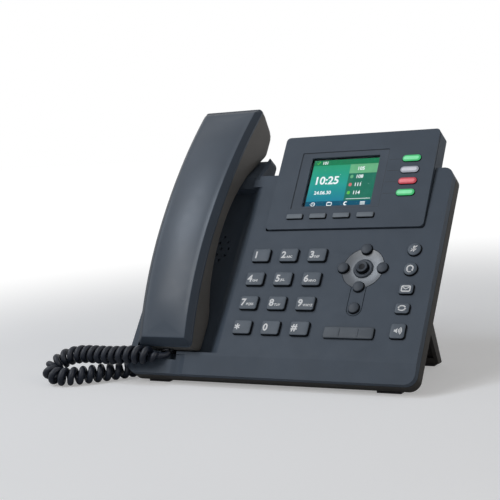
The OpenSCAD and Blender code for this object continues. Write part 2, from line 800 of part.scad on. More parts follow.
// A closed solid through a list of rings
module loft(rings) {
    n = len(rings[0]);
    m = len(rings);
    polyhedron([for (ring = rings) for (p = ring) p],
        concat([[for (i = [0:n - 1]) i]],
            [for (k = [0:m - 2], i = [0:n - 1])
                [k * n + i, (k + 1) * n + i, (k + 1) * n + (i + 1) % n, k * n + (i + 1) % n]],
            [[for (i = [n - 1:-1:0]) (m - 1) * n + i]]), convexity = 6);
}

handset_stations = [16, 16.6, 17.6, 19.5, 22, 30, 40, 44, 48, 53, 57, 64, 72, 80, 90, 100, 110, 120, 130, 138,
    145, 150, 153.5, 160, 170, 181.5, 188, 195.5, 198.5, 200.6, 202.6, 204.2, 205.6, 206.4];

module handset_solid(t) {
    loft([for (y = handset_stations) if (y > heel_y + t * 1.05 - eps && y < tip_y - t * 1.05 + eps)
        handset_ring(y, t)]);
}

// Everything above the parting line of the two shells
module above_parting(raise) {
    rotate([90, 0, 90]) translate([0, 0, -150]) linear_extrude(150) polygon(concat(
        [for (y = handset_stations) [y, top_at(y) - side_t + raise]], [[tip_y + 3, 60], [heel_y - 3, 60]],
        [[heel_y - 3, heel_z - side_t + raise]]));
}

module handset_back_shell() {
    color(cover_grey) on_slope() difference() {
        intersection() {
            handset_solid(0);
            above_parting(0);
        }
        handset_solid(handset_wall);
    }
}

module handset_face_shell() {
    color(cover_grey) on_slope() difference() {
        handset_solid(0);
        above_parting(-0.2);
        handset_solid(handset_wall);
        // sound holes over the receiver, square to the ear face
        ear_place() for (a = [0:60:300]) rotate(a) translate([4.5, 0, -8]) cylinder(r = 1, h = 12, $fn = 12);
        // sound holes over the microphone
        for (dx = [-4, 0, 4]) translate([handset_x + dx, 26, -12]) cylinder(r = 0.8, h = 8, $fn = 12);
        // the cord's jack
        box([handset_x - plug_w / 2 - 0.1, 10, plug_z - plug_t / 2 - 0.1],
            [handset_x + plug_w / 2 + 0.1, 20, plug_z + plug_t / 2 + 0.1]);
    }
}

// The middle of the ear face, z pointing into the handset
module ear_place() {
    translate([handset_x, 167.5, -9.85]) rotate([-ear_slope, 0, 0]) children();
}

module handset_receiver() {
    color(metal) on_slope() ear_place() translate([0, 0, 2.3]) difference() {
        cylinder(r = 11, h = 5);
        translate([0, 0, 4]) cylinder(r = 8, h = 2);
    }
}

module handset_microphone() {
    color(metal) on_slope() translate([handset_x, 29, -6.2]) cylinder(r = 4.8, h = 3);
}

module handset_weight() {
    color(metal) on_slope() box([handset_x - 12, 85, 12.5], [handset_x + 12, 122, 18]);
}

// ---- cord ----

// A plug, out along -Y from its nose at the origin, with its latch on top
module cord_plug(len) {
    box([-plug_w / 2, -len, -plug_t / 2], [plug_w / 2, 0, plug_t / 2 - 1.2]);
    box([-1.6, -len, -plug_t / 2], [1.6, -1, plug_t / 2]);
}

module handset_plug() {
    color([0.1, 0.1, 0.1]) on_slope() translate([handset_x, 14.6 + handset_plug_len, plug_z])
        cord_plug(handset_plug_len);
}

module base_plug() {
    color([0.1, 0.1, 0.1]) on_slope() translate([rj9_xs[0], port_wall_y + 8.5, rj9_z])
        cord_plug(base_plug_len);
}

// A point on the smooth curve through the route, u counted in route points
function route_at(u) =
    let (n = len(route) - 1, i = min(floor(u), n - 1), t = u - i,
        p0 = route[max(i - 1, 0)], p1 = route[i], p2 = route[i + 1], p3 = route[min(i + 2, n)])
    0.5 * (2 * p1 + (p2 - p0) * t + (2 * p0 - 5 * p1 + 4 * p2 - p3) * t ^ 2
        + (3 * p1 - p0 - 3 * p2 + p3) * t ^ 3);

function unit(v) = v / norm(v);

// The cord's radius along the route: thin leads and the full coil between them
function cord_r(u) =
    let (k = min(1, max(0, min((u - coil_from) / coil_fade + 1, (coil_to - u) / coil_fade + 1))))
    lead_d / 2 + (coil_d - lead_d) / 2 * k;

function cord_ring(u) =
    let (n = len(route) - 1, p = route_at(u), d = 0.05,
        along = unit(route_at(min(u + d, n)) - route_at(max(u - d, 0))),
        across = unit(cross(along, [0, 0, 1])), up = cross(across, along))
    [for (a = [0:360 / cord_sides:359]) p + cord_r(u) * (cos(a) * across - sin(a) * up)];

module handset_cord() {
    color(cord_grey) loft([for (u = [0:0.5:len(route) - 1]) cord_ring(u)]);
}

front_cover();
rear_cover();
display_housing();
display_back();
display_lens();
lcd_panel();
indicator_lens();
main_board();
keypad_board();
key_mat();
nav_plate();
loudspeaker();
hook_switch();
network_jacks();
handset_jacks();
power_jack();
stand();
rubber_feet();
case_screws();
hook_lever();
digit_key(0);  // key_1
digit_key(1);  // key_2
digit_key(2);  // key_3
digit_key(3);  // key_4
digit_key(4);  // key_5
digit_key(5);  // key_6
digit_key(6);  // key_7
digit_key(7);  // key_8
digit_key(8);  // key_9
digit_key(9);  // key_star
digit_key(10);  // key_0
digit_key(11);  // key_hash
soft_key(0);  // soft_key_1
soft_key(1);  // soft_key_2
soft_key(2);  // soft_key_3
soft_key(3);  // soft_key_4
line_key(0);  // line_key_1
line_key(1);  // line_key_2
line_key(2);  // line_key_3
line_key(3);  // line_key_4
nav_key(0);  // nav_up
nav_key(1);  // nav_down
nav_key(2);  // nav_left
nav_key(3);  // nav_right
nav_key(4);  // nav_ok
nav_key(5);  // nav_back
side_key(0);  // mute_key
side_key(1);  // headset_key
side_key(2);  // message_key
side_key(3);  // redial_key
side_key(4);  // speaker_key
volume_rocker();
handset_back_shell();
handset_face_shell();
handset_receiver();
handset_microphone();
handset_weight();
handset_cord();
handset_plug();
base_plug();
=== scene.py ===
"""The looks of a desk telephone: moulded covers, keys, a lit display, a curly cord and the handset.

Sizes are millimetres on the sloping face, where x runs across, y up the slope and z out of it.
Slope.place turns them into metres in the model's own frame.
"""

import json
import logging
import math
from collections.abc import Callable, Sequence
from dataclasses import dataclass, field
from enum import Enum

import bmesh
import bpy
import numpy as np
from mathutils import Matrix, Vector

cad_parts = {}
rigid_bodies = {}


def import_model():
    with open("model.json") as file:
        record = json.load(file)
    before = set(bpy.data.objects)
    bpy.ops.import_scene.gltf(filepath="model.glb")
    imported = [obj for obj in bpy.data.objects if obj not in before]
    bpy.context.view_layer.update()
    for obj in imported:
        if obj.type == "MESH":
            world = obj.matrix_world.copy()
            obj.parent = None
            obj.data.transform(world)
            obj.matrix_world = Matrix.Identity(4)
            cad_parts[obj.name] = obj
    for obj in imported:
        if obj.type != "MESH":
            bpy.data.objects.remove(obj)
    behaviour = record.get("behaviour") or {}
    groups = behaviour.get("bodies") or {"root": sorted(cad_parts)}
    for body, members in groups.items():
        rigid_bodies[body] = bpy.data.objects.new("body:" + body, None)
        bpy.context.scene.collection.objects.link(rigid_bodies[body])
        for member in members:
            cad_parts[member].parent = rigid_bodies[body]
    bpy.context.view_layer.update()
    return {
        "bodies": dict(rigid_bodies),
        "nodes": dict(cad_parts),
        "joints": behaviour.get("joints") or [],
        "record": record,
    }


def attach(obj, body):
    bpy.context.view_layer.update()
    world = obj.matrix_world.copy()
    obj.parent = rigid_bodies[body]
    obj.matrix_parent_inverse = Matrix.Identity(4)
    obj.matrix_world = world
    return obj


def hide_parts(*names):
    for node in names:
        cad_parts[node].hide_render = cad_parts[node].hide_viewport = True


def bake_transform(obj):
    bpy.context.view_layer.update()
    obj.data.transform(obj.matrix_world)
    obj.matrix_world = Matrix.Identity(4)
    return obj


log = logging.getLogger("desk_phone")

Array = np.ndarray
Object = bpy.types.Object
Socket = bpy.types.NodeSocket
Colour = tuple[float, float, float]
Point = tuple[float, float, float]
MM = 0.001
LAYER = 0.03  # height of one layer of the lit picture, in millimetres
NOISE_RANGE = (0.3, 0.7)  # the values between which most of a noise lies


# ---- places on the phone ----

@dataclass(frozen=True)
class Slope:
    """A tilted plane, with x across, y up the slope and z out of it.

    Args:
        tilt: Angle above the table, in degrees.
        origin: Its origin in the model's frame, in millimetres.
    """

    tilt: float
    origin: Point

    @property
    def axes(self) -> Array:
        """The plane's three unit axes, one in each row."""
        a = math.radians(self.tilt)
        return np.array([[1, 0, 0], [0, math.cos(a), math.sin(a)], [0, -math.sin(a), math.cos(a)]])

    def place(self, points: Array) -> Array:
        """Points on the slope, in millimetres, as metres in the model's frame."""
        return (np.asarray(points, float) @ self.axes + self.origin) * MM

    def local(self, points: Array) -> Array:
        """Points of the model's frame, in metres, as millimetres on the slope."""
        return (np.asarray(points, float) / MM - self.origin) @ self.axes.T

    def above(self, y: float, z: float, tilt: float) -> "Slope":
        """A second plane that starts y up this one and z out of it, and tilts further."""
        return Slope(self.tilt + tilt, tuple(np.array([0, y, z]) @ self.axes + self.origin))


FACE = Slope(52.0, (0.0, -67.5, 9.788))
DISPLAY = FACE.above(107.6, 1.4, 2.0)
LEVEL = Slope(0.0, (0.0, 0.0, 0.0))


def vertices(mesh: bpy.types.Mesh) -> Array:
    """A mesh's own points, in metres, one in each row."""
    flat = np.empty(len(mesh.vertices) * 3, np.float32)
    mesh.vertices.foreach_get("co", flat)
    return flat.reshape(-1, 3).astype(float)


def placed(name: str, data: bpy.types.ID) -> Object:
    """A new object that holds the data, in the scene."""
    made = bpy.data.objects.new(name, data)
    bpy.context.scene.collection.objects.link(made)
    return made


@dataclass(frozen=True)
class Extent:
    """A CAD node's box on a slope, in millimetres."""

    low: Array
    high: Array

    @classmethod
    def of(cls, node: Object, slope: Slope) -> "Extent":
        """The extent of a node's own mesh on a slope."""
        points = slope.local(vertices(node.data))
        return cls(points.min(0), points.max(0))

    @property
    def middle(self) -> Array:
        """The middle of the box."""
        return (self.low + self.high) / 2

    @property
    def size(self) -> Array:
        """The three sides of the box."""
        return self.high - self.low


# ---- surfaces ----

@dataclass
class Surface:
    """A mesh on a slope, before it becomes an object.

    Args:
        points: One row of x, y, z for each point, in millimetres.
        faces: The points of each face.
    """

    points: Array
    faces: list[tuple[int, ...]]

    @classmethod
    def joined(cls, parts: Sequence["Surface"]) -> "Surface":
        """Several surfaces as one."""
        starts = np.cumsum([0] + [len(p.points) for p in parts])
        faces = [tuple(i + int(s) for i in f) for p, s in zip(parts, starts) for f in p.faces]
        return cls(np.concatenate([p.points for p in parts]), faces)

    def moved(self, x: float = 0.0, y: float = 0.0, z: float = 0.0) -> "Surface":
        """The same surface, shifted."""
        return Surface(self.points + [x, y, z], self.faces)

    def turned(self, degrees: float) -> "Surface":
        """The same surface, turned about the z axis."""
        a = math.radians(degrees)
        turn = np.array([[math.cos(a), math.sin(a), 0], [-math.sin(a), math.cos(a), 0], [0, 0, 1]])
        return Surface(self.points @ turn, self.faces)


def quads(rows: int, columns: int, closed: bool = True, offset: int = 0) -> list[tuple[int, ...]]:
    """Quads between neighbouring rows of a grid: point j of row i is number i * columns + j.

    Args:
        rows: Number of rows.
        columns: Points in each row.
        closed: Whether the last column joins the first.
        offset: Number of the grid's first point.

    Returns:
        The four points of each quad.
    """
    across = columns if closed else columns - 1
    row, column = np.meshgrid(np.arange(rows - 1), np.arange(across), indexing="ij")
    here = row * columns + column + offset
    beside = row * columns + (column + 1) % columns + offset
    made = np.stack([here, beside, beside + columns, here + columns], -1).reshape(-1, 4)
    return [tuple(q) for q in made.tolist()]


def lofted(rings: Array, capped: bool = True, looped: bool = False) -> Surface:
    """A skin through closed rings: quads between neighbours, and fans about the end rings' means.

    Args:
        rings: Points by ring, place in the ring, and x, y, z.
        capped: Whether a fan about its middle closes the first and last rings.
        looped: Whether the last ring joins the first.

    Returns:
        The skin.
    """
    if looped:
        rings = np.concatenate([rings, rings[:1]])
    rows, columns = rings.shape[:2]
    points = rings.reshape(-1, 3)
    faces = quads(rows, columns)
    if capped and not looped:
        middles = np.stack([rings[0].mean(0), rings[-1].mean(0)])
        points = np.concatenate([points, middles])
        along = np.arange(columns)
        last = (rows - 1) * columns
        hub = rows * columns
        first_fan = np.stack([(along + 1) % columns, along, np.full(columns, hub)], -1)
        last_fan = np.stack([last + along, last + (along + 1) % columns, np.full(columns, hub + 1)], -1)
        faces += [tuple(f) for f in np.concatenate([first_fan, last_fan]).tolist()]
    return Surface(points, faces)


def filleted(corners: Sequence[tuple[float, float]], radius: float, steps: int = 5) -> Array:
    """An open line whose inner corners are rounded by short parabolas.

    Each corner P is replaced by the curve (1-t)^2 A + 2t(1-t) P + t^2 B, where A and B lie on its two
    sides, the radius away from it or half a side away where the side is short.

    Args:
        corners: The line's own points.
        radius: How far from a corner its curve starts.
        steps: Points on each curve.

    Returns:
        The rounded line's points.
    """
    line = np.asarray(corners, float)
    if len(line) < 3:
        return line
    before, here, after = line[:-2], line[1:-1], line[2:]
    back, ahead = before - here, after - here
    back_length = np.linalg.norm(back, axis=1, keepdims=True)
    ahead_length = np.linalg.norm(ahead, axis=1, keepdims=True)
    start = here + back / back_length * np.minimum(radius, back_length / 2)
    end = here + ahead / ahead_length * np.minimum(radius, ahead_length / 2)
    t = np.linspace(0, 1, steps)[None, :, None]
    curves = (1 - t) ** 2 * start[:, None] + 2 * t * (1 - t) * here[:, None] + t ** 2 * end[:, None]
    return np.concatenate([line[:1], curves.reshape(-1, 2), line[-1:]])


def rounded(width: float, height: float, corner: float, inset: float = 0.0, arc: int = 7) -> Array:
    """A rounded rectangle: four quarter circles about its corners' centres.

    Args:
        width: Its width.
        height: Its height.
        corner: Radius of its corners.
        inset: How far inside that outline the points lie.
        arc: Points on each quarter circle.

    Returns:
        The outline's x and y, anticlockwise.
    """
    least = 0.02
    shrink = min(inset, min(width, height) / 2 - least)
    r = max(corner - shrink, least)
    half_x = max(width / 2 - shrink - r, 0)
    half_y = max(height / 2 - shrink - r, 0)
    angle = (np.arange(4)[:, None] * np.pi / 2 + np.linspace(0, np.pi / 2, arc)).ravel()
    side_x = np.repeat([1, -1, -1, 1], arc) * half_x
    side_y = np.repeat([1, 1, -1, -1], arc) * half_y
    return np.stack([side_x + r * np.cos(angle), side_y + r * np.sin(angle)], -1)


def stacked(outline: Callable[[float], Array], levels: Sequence[tuple[float, float]]) -> Surface:
    """A closed solid of one outline, drawn at several insets and heights.

    Args:
        outline: Gives the outline at an inset.
        levels: Inset and height of each ring, from the bottom to the top.

    Returns:
        The solid.
    """
    rings = [np.column_stack([outline(inset), np.full(len(outline(inset)), z)]) for inset, z in levels]
    return lofted(np.stack(rings))


def plate(outline: Array | Sequence, low: float, high: float) -> Surface:
    """A flat plate of an outline that can be seen whole from its middle, between two heights."""
    return stacked(lambda inset: outline, [(0.0, low), (0.0, high)])


def ribbon(line: Array | Sequence, width: float, low: float, high: float, closed: bool = False) -> Surface:
    """A flat stroke along a line: the line moved half the width to each side, at two heights.

    Args:
        line: The stroke's middle, x and y.
        width: Its width.
        low: Height of its underside.
        high: Height of its top.
        closed: Whether it ends where it starts.

    Returns:
        The stroke as a closed solid.
    """
    line = np.asarray(line, float)
    if closed:
        along = np.roll(line, -1, 0) - np.roll(line, 1, 0)
    else:
        along = np.gradient(line, axis=0)
    along /= np.linalg.norm(along, axis=1, keepdims=True)
    aside = np.column_stack([-along[:, 1], along[:, 0]]) * width / 2
    left, right = line + aside, line - aside
    edges = [(left, low), (right, low), (right, high), (left, high)]
    rings = np.stack([np.column_stack([side, np.full(len(side), z)]) for side, z in edges], 1)
    return lofted(rings, capped=not closed, looped=closed)


def arc_line(radius: float, start: float, end: float, centre: tuple[float, float] = (0, 0),
             steps: int = 18) -> Array:
    """Points on a circle between two angles, in degrees."""
    a = np.radians(np.linspace(start, end, steps))
    return np.column_stack([centre[0] + radius * np.cos(a), centre[1] + radius * np.sin(a)])


def circle(radius: float, points: int) -> Array:
    """Points all round a circle about the origin."""
    return arc_line(radius, 0, 360, steps=points + 1)[:-1]


# ---- finishes ----

def linear(colour: Colour) -> tuple[float, float, float, float]:
    """A colour of 0 to 255 as the linear values that shaders take, with alpha."""
    share = np.asarray(colour, float) / 255
    value = np.where(share <= 0.04045, share / 12.92, ((share + 0.055) / 1.055) ** 2.4)
    return (*value.tolist(), 1.0)


def shade(colour: Colour, factor: float) -> Colour:
    """A colour of 0 to 255 made lighter or darker."""
    return tuple(min(255.0, c * factor) for c in colour)


class Nodes:
    """A node tree, with short calls to fill it."""

    def __init__(self, tree: bpy.types.NodeTree) -> None:
        """Keeps the tree's nodes and links."""
        self.nodes, self.links = tree.nodes, tree.links

    def node(self, kind: str, **values: object) -> bpy.types.Node:
        """A new node, with its properties and its inputs set by name.

        Args:
            kind: Blender's name for the kind of node.
            values: Values by the name of the property or of the input, with _ for a space.

        Returns:
            The node.
        """
        made = self.nodes.new(kind)
        for key, value in values.items():
            if hasattr(made, key):
                setattr(made, key, value)
            else:
                made.inputs[key.replace("_", " ")].default_value = value
        return made

    def join(self, output: Socket, target: Socket) -> None:
        """A link from one socket to another."""
        self.links.new(output, target)

    def combined(self, operation: str, first: Socket, second: Socket) -> Socket:
        """The result of an operation on two values.

        Args:
            operation: Blender's name for the operation.
            first: The first value.
            second: The second value.

        Returns:
            The result.
        """
        node = self.node("ShaderNodeMath", operation=operation)
        self.join(first, node.inputs[0])
        self.join(second, node.inputs[1])
        return node.outputs[0]


class Graph(Nodes):
    """A material's nodes, with short calls for the ones that the finishes share."""

    def __init__(self, name: str) -> None:
        """Starts an empty material with its Principled shader."""
        self.material = bpy.data.materials.new(name)
        self.material.use_nodes = True
        super().__init__(self.material.node_tree)
        self.shader = self.nodes["Principled BSDF"]

    def set(self, **values: object) -> None:
        """Sets the shader's own sockets by name."""
        for key, value in values.items():
            self.shader.inputs[key.replace("_", " ")].default_value = value

    def coordinates(self, stretch: Point = (1, 1, 1)) -> Socket:
        """Object coordinates, in metres, scaled along each axis.

        Args:
            stretch: The scale along x, y and z.

        Returns:
            The scaled coordinates.
        """
        source = self.node("ShaderNodeTexCoord")
        mapping = self.node("ShaderNodeMapping", Scale=stretch)
        self.join(source.outputs["Object"], mapping.inputs["Vector"])
        return mapping.outputs["Vector"]

    def noise(self, scale: float, detail: float = 2.0, stretch: Point = (1, 1, 1)) -> Socket:
        """Noise on Object coordinates.

        Args:
            scale: Features for each metre.
            detail: How many finer layers it has.
            stretch: The scale along x, y and z.

        Returns:
            The noise, about 0.3 to 0.7.
        """
        texture = self.node("ShaderNodeTexNoise", Scale=scale, Detail=detail)
        self.join(self.coordinates(stretch), texture.inputs["Vector"])
        return texture.outputs["Fac"]

    def spread(self, source: Socket, low: float, high: float) -> Socket:
        """A noise's middle range stretched between two values.

        Args:
            source: The noise.
            low: The value at the range's lower end.
            high: The value at its upper end.

        Returns:
            The stretched noise.
        """
        start, end = NOISE_RANGE
        node = self.node("ShaderNodeMapRange", From_Min=start, From_Max=end, To_Min=low, To_Max=high)
        self.join(source, node.inputs["Value"])
        return node.outputs["Result"]

    def blend(self, factor: Socket, first: Colour, second: Colour,
              between: tuple[float, float] = NOISE_RANGE) -> Socket:
        """A colour that passes from one to another.

        Args:
            factor: The value that it depends on.
            first: The colour at the range's lower end.
            second: The colour at its upper end.
            between: The range of the factor over which it passes.

        Returns:
            The colour.
        """
        ramp = self.node("ShaderNodeValToRGB")
        for stop, place, colour in zip(ramp.color_ramp.elements, between, (first, second)):
            stop.position = place
            stop.color = linear(colour)
        self.join(factor, ramp.inputs["Fac"])
        return ramp.outputs["Color"]

    def mottle(self, source: Socket, colour: Colour, low: float, high: float,
               target: str = "Base Color") -> None:
        """Gives the shader a colour that a noise makes darker and lighter.

        Args:
            source: The noise.
            colour: The colour, 0 to 255.
            low: Its factor at the noise's lower end.
            high: Its factor at the upper end.
            target: The shader's socket.
        """
        self.join(self.blend(source, shade(colour, low), shade(colour, high)), self.shader.inputs[target])

    def gloss(self, source: Socket, roughness: float, drift: float) -> None:
        """Gives the shader a roughness that a noise changes.

        Args:
            source: The noise.
            roughness: The middle roughness.
            drift: How far it strays from its middle.
        """
        self.join(self.spread(source, roughness - drift, roughness + drift), self.shader.inputs["Roughness"])

    def bump(self, height: Socket, strength: float, depth: float) -> None:
        """Relief on the shader's normal.

        Args:
            height: The relief's height.
            strength: How strongly it shows.
            depth: Its depth, in millimetres.
        """
        node = self.node("ShaderNodeBump", Strength=strength, Distance=depth * MM)
        self.join(height, node.inputs["Height"])
        self.join(node.outputs["Normal"], self.shader.inputs["Normal"])


@dataclass(frozen=True)
class Moulding:
    """Moulded plastic or rubber: spark-eroded grain, faint mottling and uneven gloss.

    Args:
        name: The material's name.
        colour: Its colour, 0 to 255.
        roughness: Its middle roughness.
        grain: Size of the grain, in millimetres.
        relief: Depth of the grain, in millimetres.
        mottle: How far the colour strays from its middle.
        specular: The shader's specular level.
        drift: How far the roughness strays from its middle.
    """

    name: str
    colour: Colour
    roughness: float = 0.5
    grain: float = 0.35
    relief: float = 0.02
    mottle: float = 0.03
    specular: float = 0.3
    drift: float = 0.025

    def material(self) -> bpy.types.Material:
        """The finish as a new material."""
        graph = Graph(self.name)
        graph.set(Metallic=0.0, Specular_IOR_Level=self.specular)
        graph.mottle(graph.noise(45, 3), self.colour, 1 - self.mottle, 1 + self.mottle)
        graph.gloss(graph.noise(140, 4), self.roughness, self.drift)
        graph.bump(graph.noise(1 / (self.grain * MM), 1.5), 0.35, self.relief)
        return graph.material


@dataclass(frozen=True)
class Metal:
    """Brushed or satin metal: fine streaks along x in the gloss and the relief.

    Args:
        name: The material's name.
        colour: Its colour, 0 to 255.
        roughness: Its middle roughness.
        streak: How far the streaks change the roughness.
    """

    name: str
    colour: Colour
    roughness: float = 0.3
    streak: float = 0.06

    def material(self) -> bpy.types.Material:
        """The finish as a new material."""
        graph = Graph(self.name)
        graph.set(Metallic=1.0)
        graph.mottle(graph.noise(80, 3), self.colour, 0.96, 1.04)
        streaks = graph.noise(900, 2, (0.08, 1, 1))
        graph.gloss(streaks, self.roughness, self.streak)
        graph.bump(streaks, 0.15, 0.01)
        return graph.material


@dataclass(frozen=True)
class Glow:
    """A lit plastic lens or a printed mark that gives some light of its own.

    Args:
        name: The material's name.
        colour: Its colour, 0 to 255.
        light: Strength of its own light; 1 shows the colour as written.
        body: Share of the colour that its surface also has.
        roughness: Its roughness.
        specular: The shader's specular level.
    """

    name: str
    colour: Colour
    light: float = 0.6
    body: float = 0.6
    roughness: float = 0.35
    specular: float = 0.4

    def material(self) -> bpy.types.Material:
        """The finish as a new material."""
        graph = Graph(self.name)
        graph.set(Metallic=0.0, Emission_Strength=self.light, Specular_IOR_Level=self.specular)
        cloud = graph.noise(260, 2)
        graph.mottle(cloud, shade(self.colour, self.body), 0.95, 1.03)
        graph.mottle(cloud, self.colour, 0.97, 1.02, "Emission Color")
        graph.gloss(graph.noise(400, 3), self.roughness, 0.04)
        return graph.material


@dataclass(frozen=True)
class Glass:
    """A clear window with faint smears in its gloss.

    Args:
        name: The material's name.
        colour: Its colour, 0 to 255.
        roughness: Its middle roughness.
        smear: How far the smears change the roughness.
        bending: Its index of refraction, kept near air's so that no lamp's reflection hides the picture.
    """

    name: str = "window_glass"
    colour: Colour = (250, 252, 255)
    roughness: float = 0.02
    smear: float = 0.015
    bending: float = 1.01

    def material(self) -> bpy.types.Material:
        """The finish as a new material."""
        graph = Graph(self.name)
        graph.set(Metallic=0.0, Transmission_Weight=1.0, IOR=self.bending)
        graph.mottle(graph.noise(120, 2), self.colour, 0.985, 1.0)
        graph.gloss(graph.noise(70, 4), self.roughness, self.smear)
        return graph.material


@dataclass(frozen=True)
class ScreenGlow:
    """The display's lit ground: teal at the foot, green towards the top, by the piece's own UV map.

    Args:
        name: The material's name.
        foot: Colour at the picture's foot, 0 to 255.
        middle: Colour half way up.
        head: Colour at its head.
        light: Strength of its light; 1 shows the colours as written.
    """

    name: str = "screen_ground"
    foot: Colour = (38, 122, 160)
    middle: Colour = (48, 166, 152)
    head: Colour = (52, 164, 112)
    light: float = 0.92

    def material(self) -> bpy.types.Material:
        """The finish as a new material."""
        graph = Graph(self.name)
        graph.set(Metallic=0.0, Roughness=0.5, Emission_Strength=self.light, Specular_IOR_Level=0.02,
              Base_Color=linear((6, 8, 9)))
        source = graph.node("ShaderNodeTexCoord")
        split = graph.node("ShaderNodeSeparateXYZ")
        graph.join(source.outputs["UV"], split.inputs["Vector"])
        ramp = graph.node("ShaderNodeValToRGB")
        ramp.color_ramp.elements[0].color = linear(self.foot)
        ramp.color_ramp.elements[1].color = linear(self.head)
        ramp.color_ramp.elements.new(0.5).color = linear(self.middle)
        graph.join(split.outputs["Y"], ramp.inputs["Fac"])
        graph.join(ramp.outputs["Color"], graph.shader.inputs["Emission Color"])
        return graph.material


@dataclass(frozen=True)
class CordSkin:
    """The cord's soft jacket: slight gloss, fine pores and dusty mottling.

    Args:
        name: The material's name.
        colour: Its colour, 0 to 255.
        roughness: Its middle roughness.
    """

    name: str = "cord_jacket"
    colour: Colour = (27, 33, 45)
    roughness: float = 0.42

    def material(self) -> bpy.types.Material:
        """The finish as a new material."""
        graph = Graph(self.name)
        graph.set(Metallic=0.0, Specular_IOR_Level=0.35)
        graph.mottle(graph.noise(90, 4), self.colour, 0.9, 1.1)
        graph.gloss(graph.noise(300, 3), self.roughness, 0.07)
        graph.bump(graph.noise(2200, 1), 0.3, 0.03)
        return graph.material


@dataclass(frozen=True)
class CircuitBoard:
    """A circuit board: green lacquer over copper tracks, drawn by a fine cell pattern.

    Args:
        name: The material's name.
        colour: The lacquer's colour, 0 to 255.
        track: The tracks' colour, 0 to 255.
        edge: Distances from a cell's border between which the tracks end.
    """

    name: str = "board_lacquer"
    colour: Colour = (24, 84, 48)
    track: Colour = (46, 118, 66)
    edge: tuple[float, float] = (0.05, 0.09)

    def material(self) -> bpy.types.Material:
        """The finish as a new material."""
        graph = Graph(self.name)
        graph.set(Metallic=0.0, Roughness=0.3)
        cells = graph.node("ShaderNodeTexVoronoi", feature="DISTANCE_TO_EDGE", distance="CHEBYCHEV",
                           Scale=320)
        graph.join(graph.coordinates(), cells.inputs["Vector"])
        graph.join(graph.blend(cells.outputs["Distance"], self.track, self.colour, self.edge),
               graph.shader.inputs["Base Color"])
        graph.bump(cells.outputs["Distance"], 0.2, 0.03)
        return graph.material


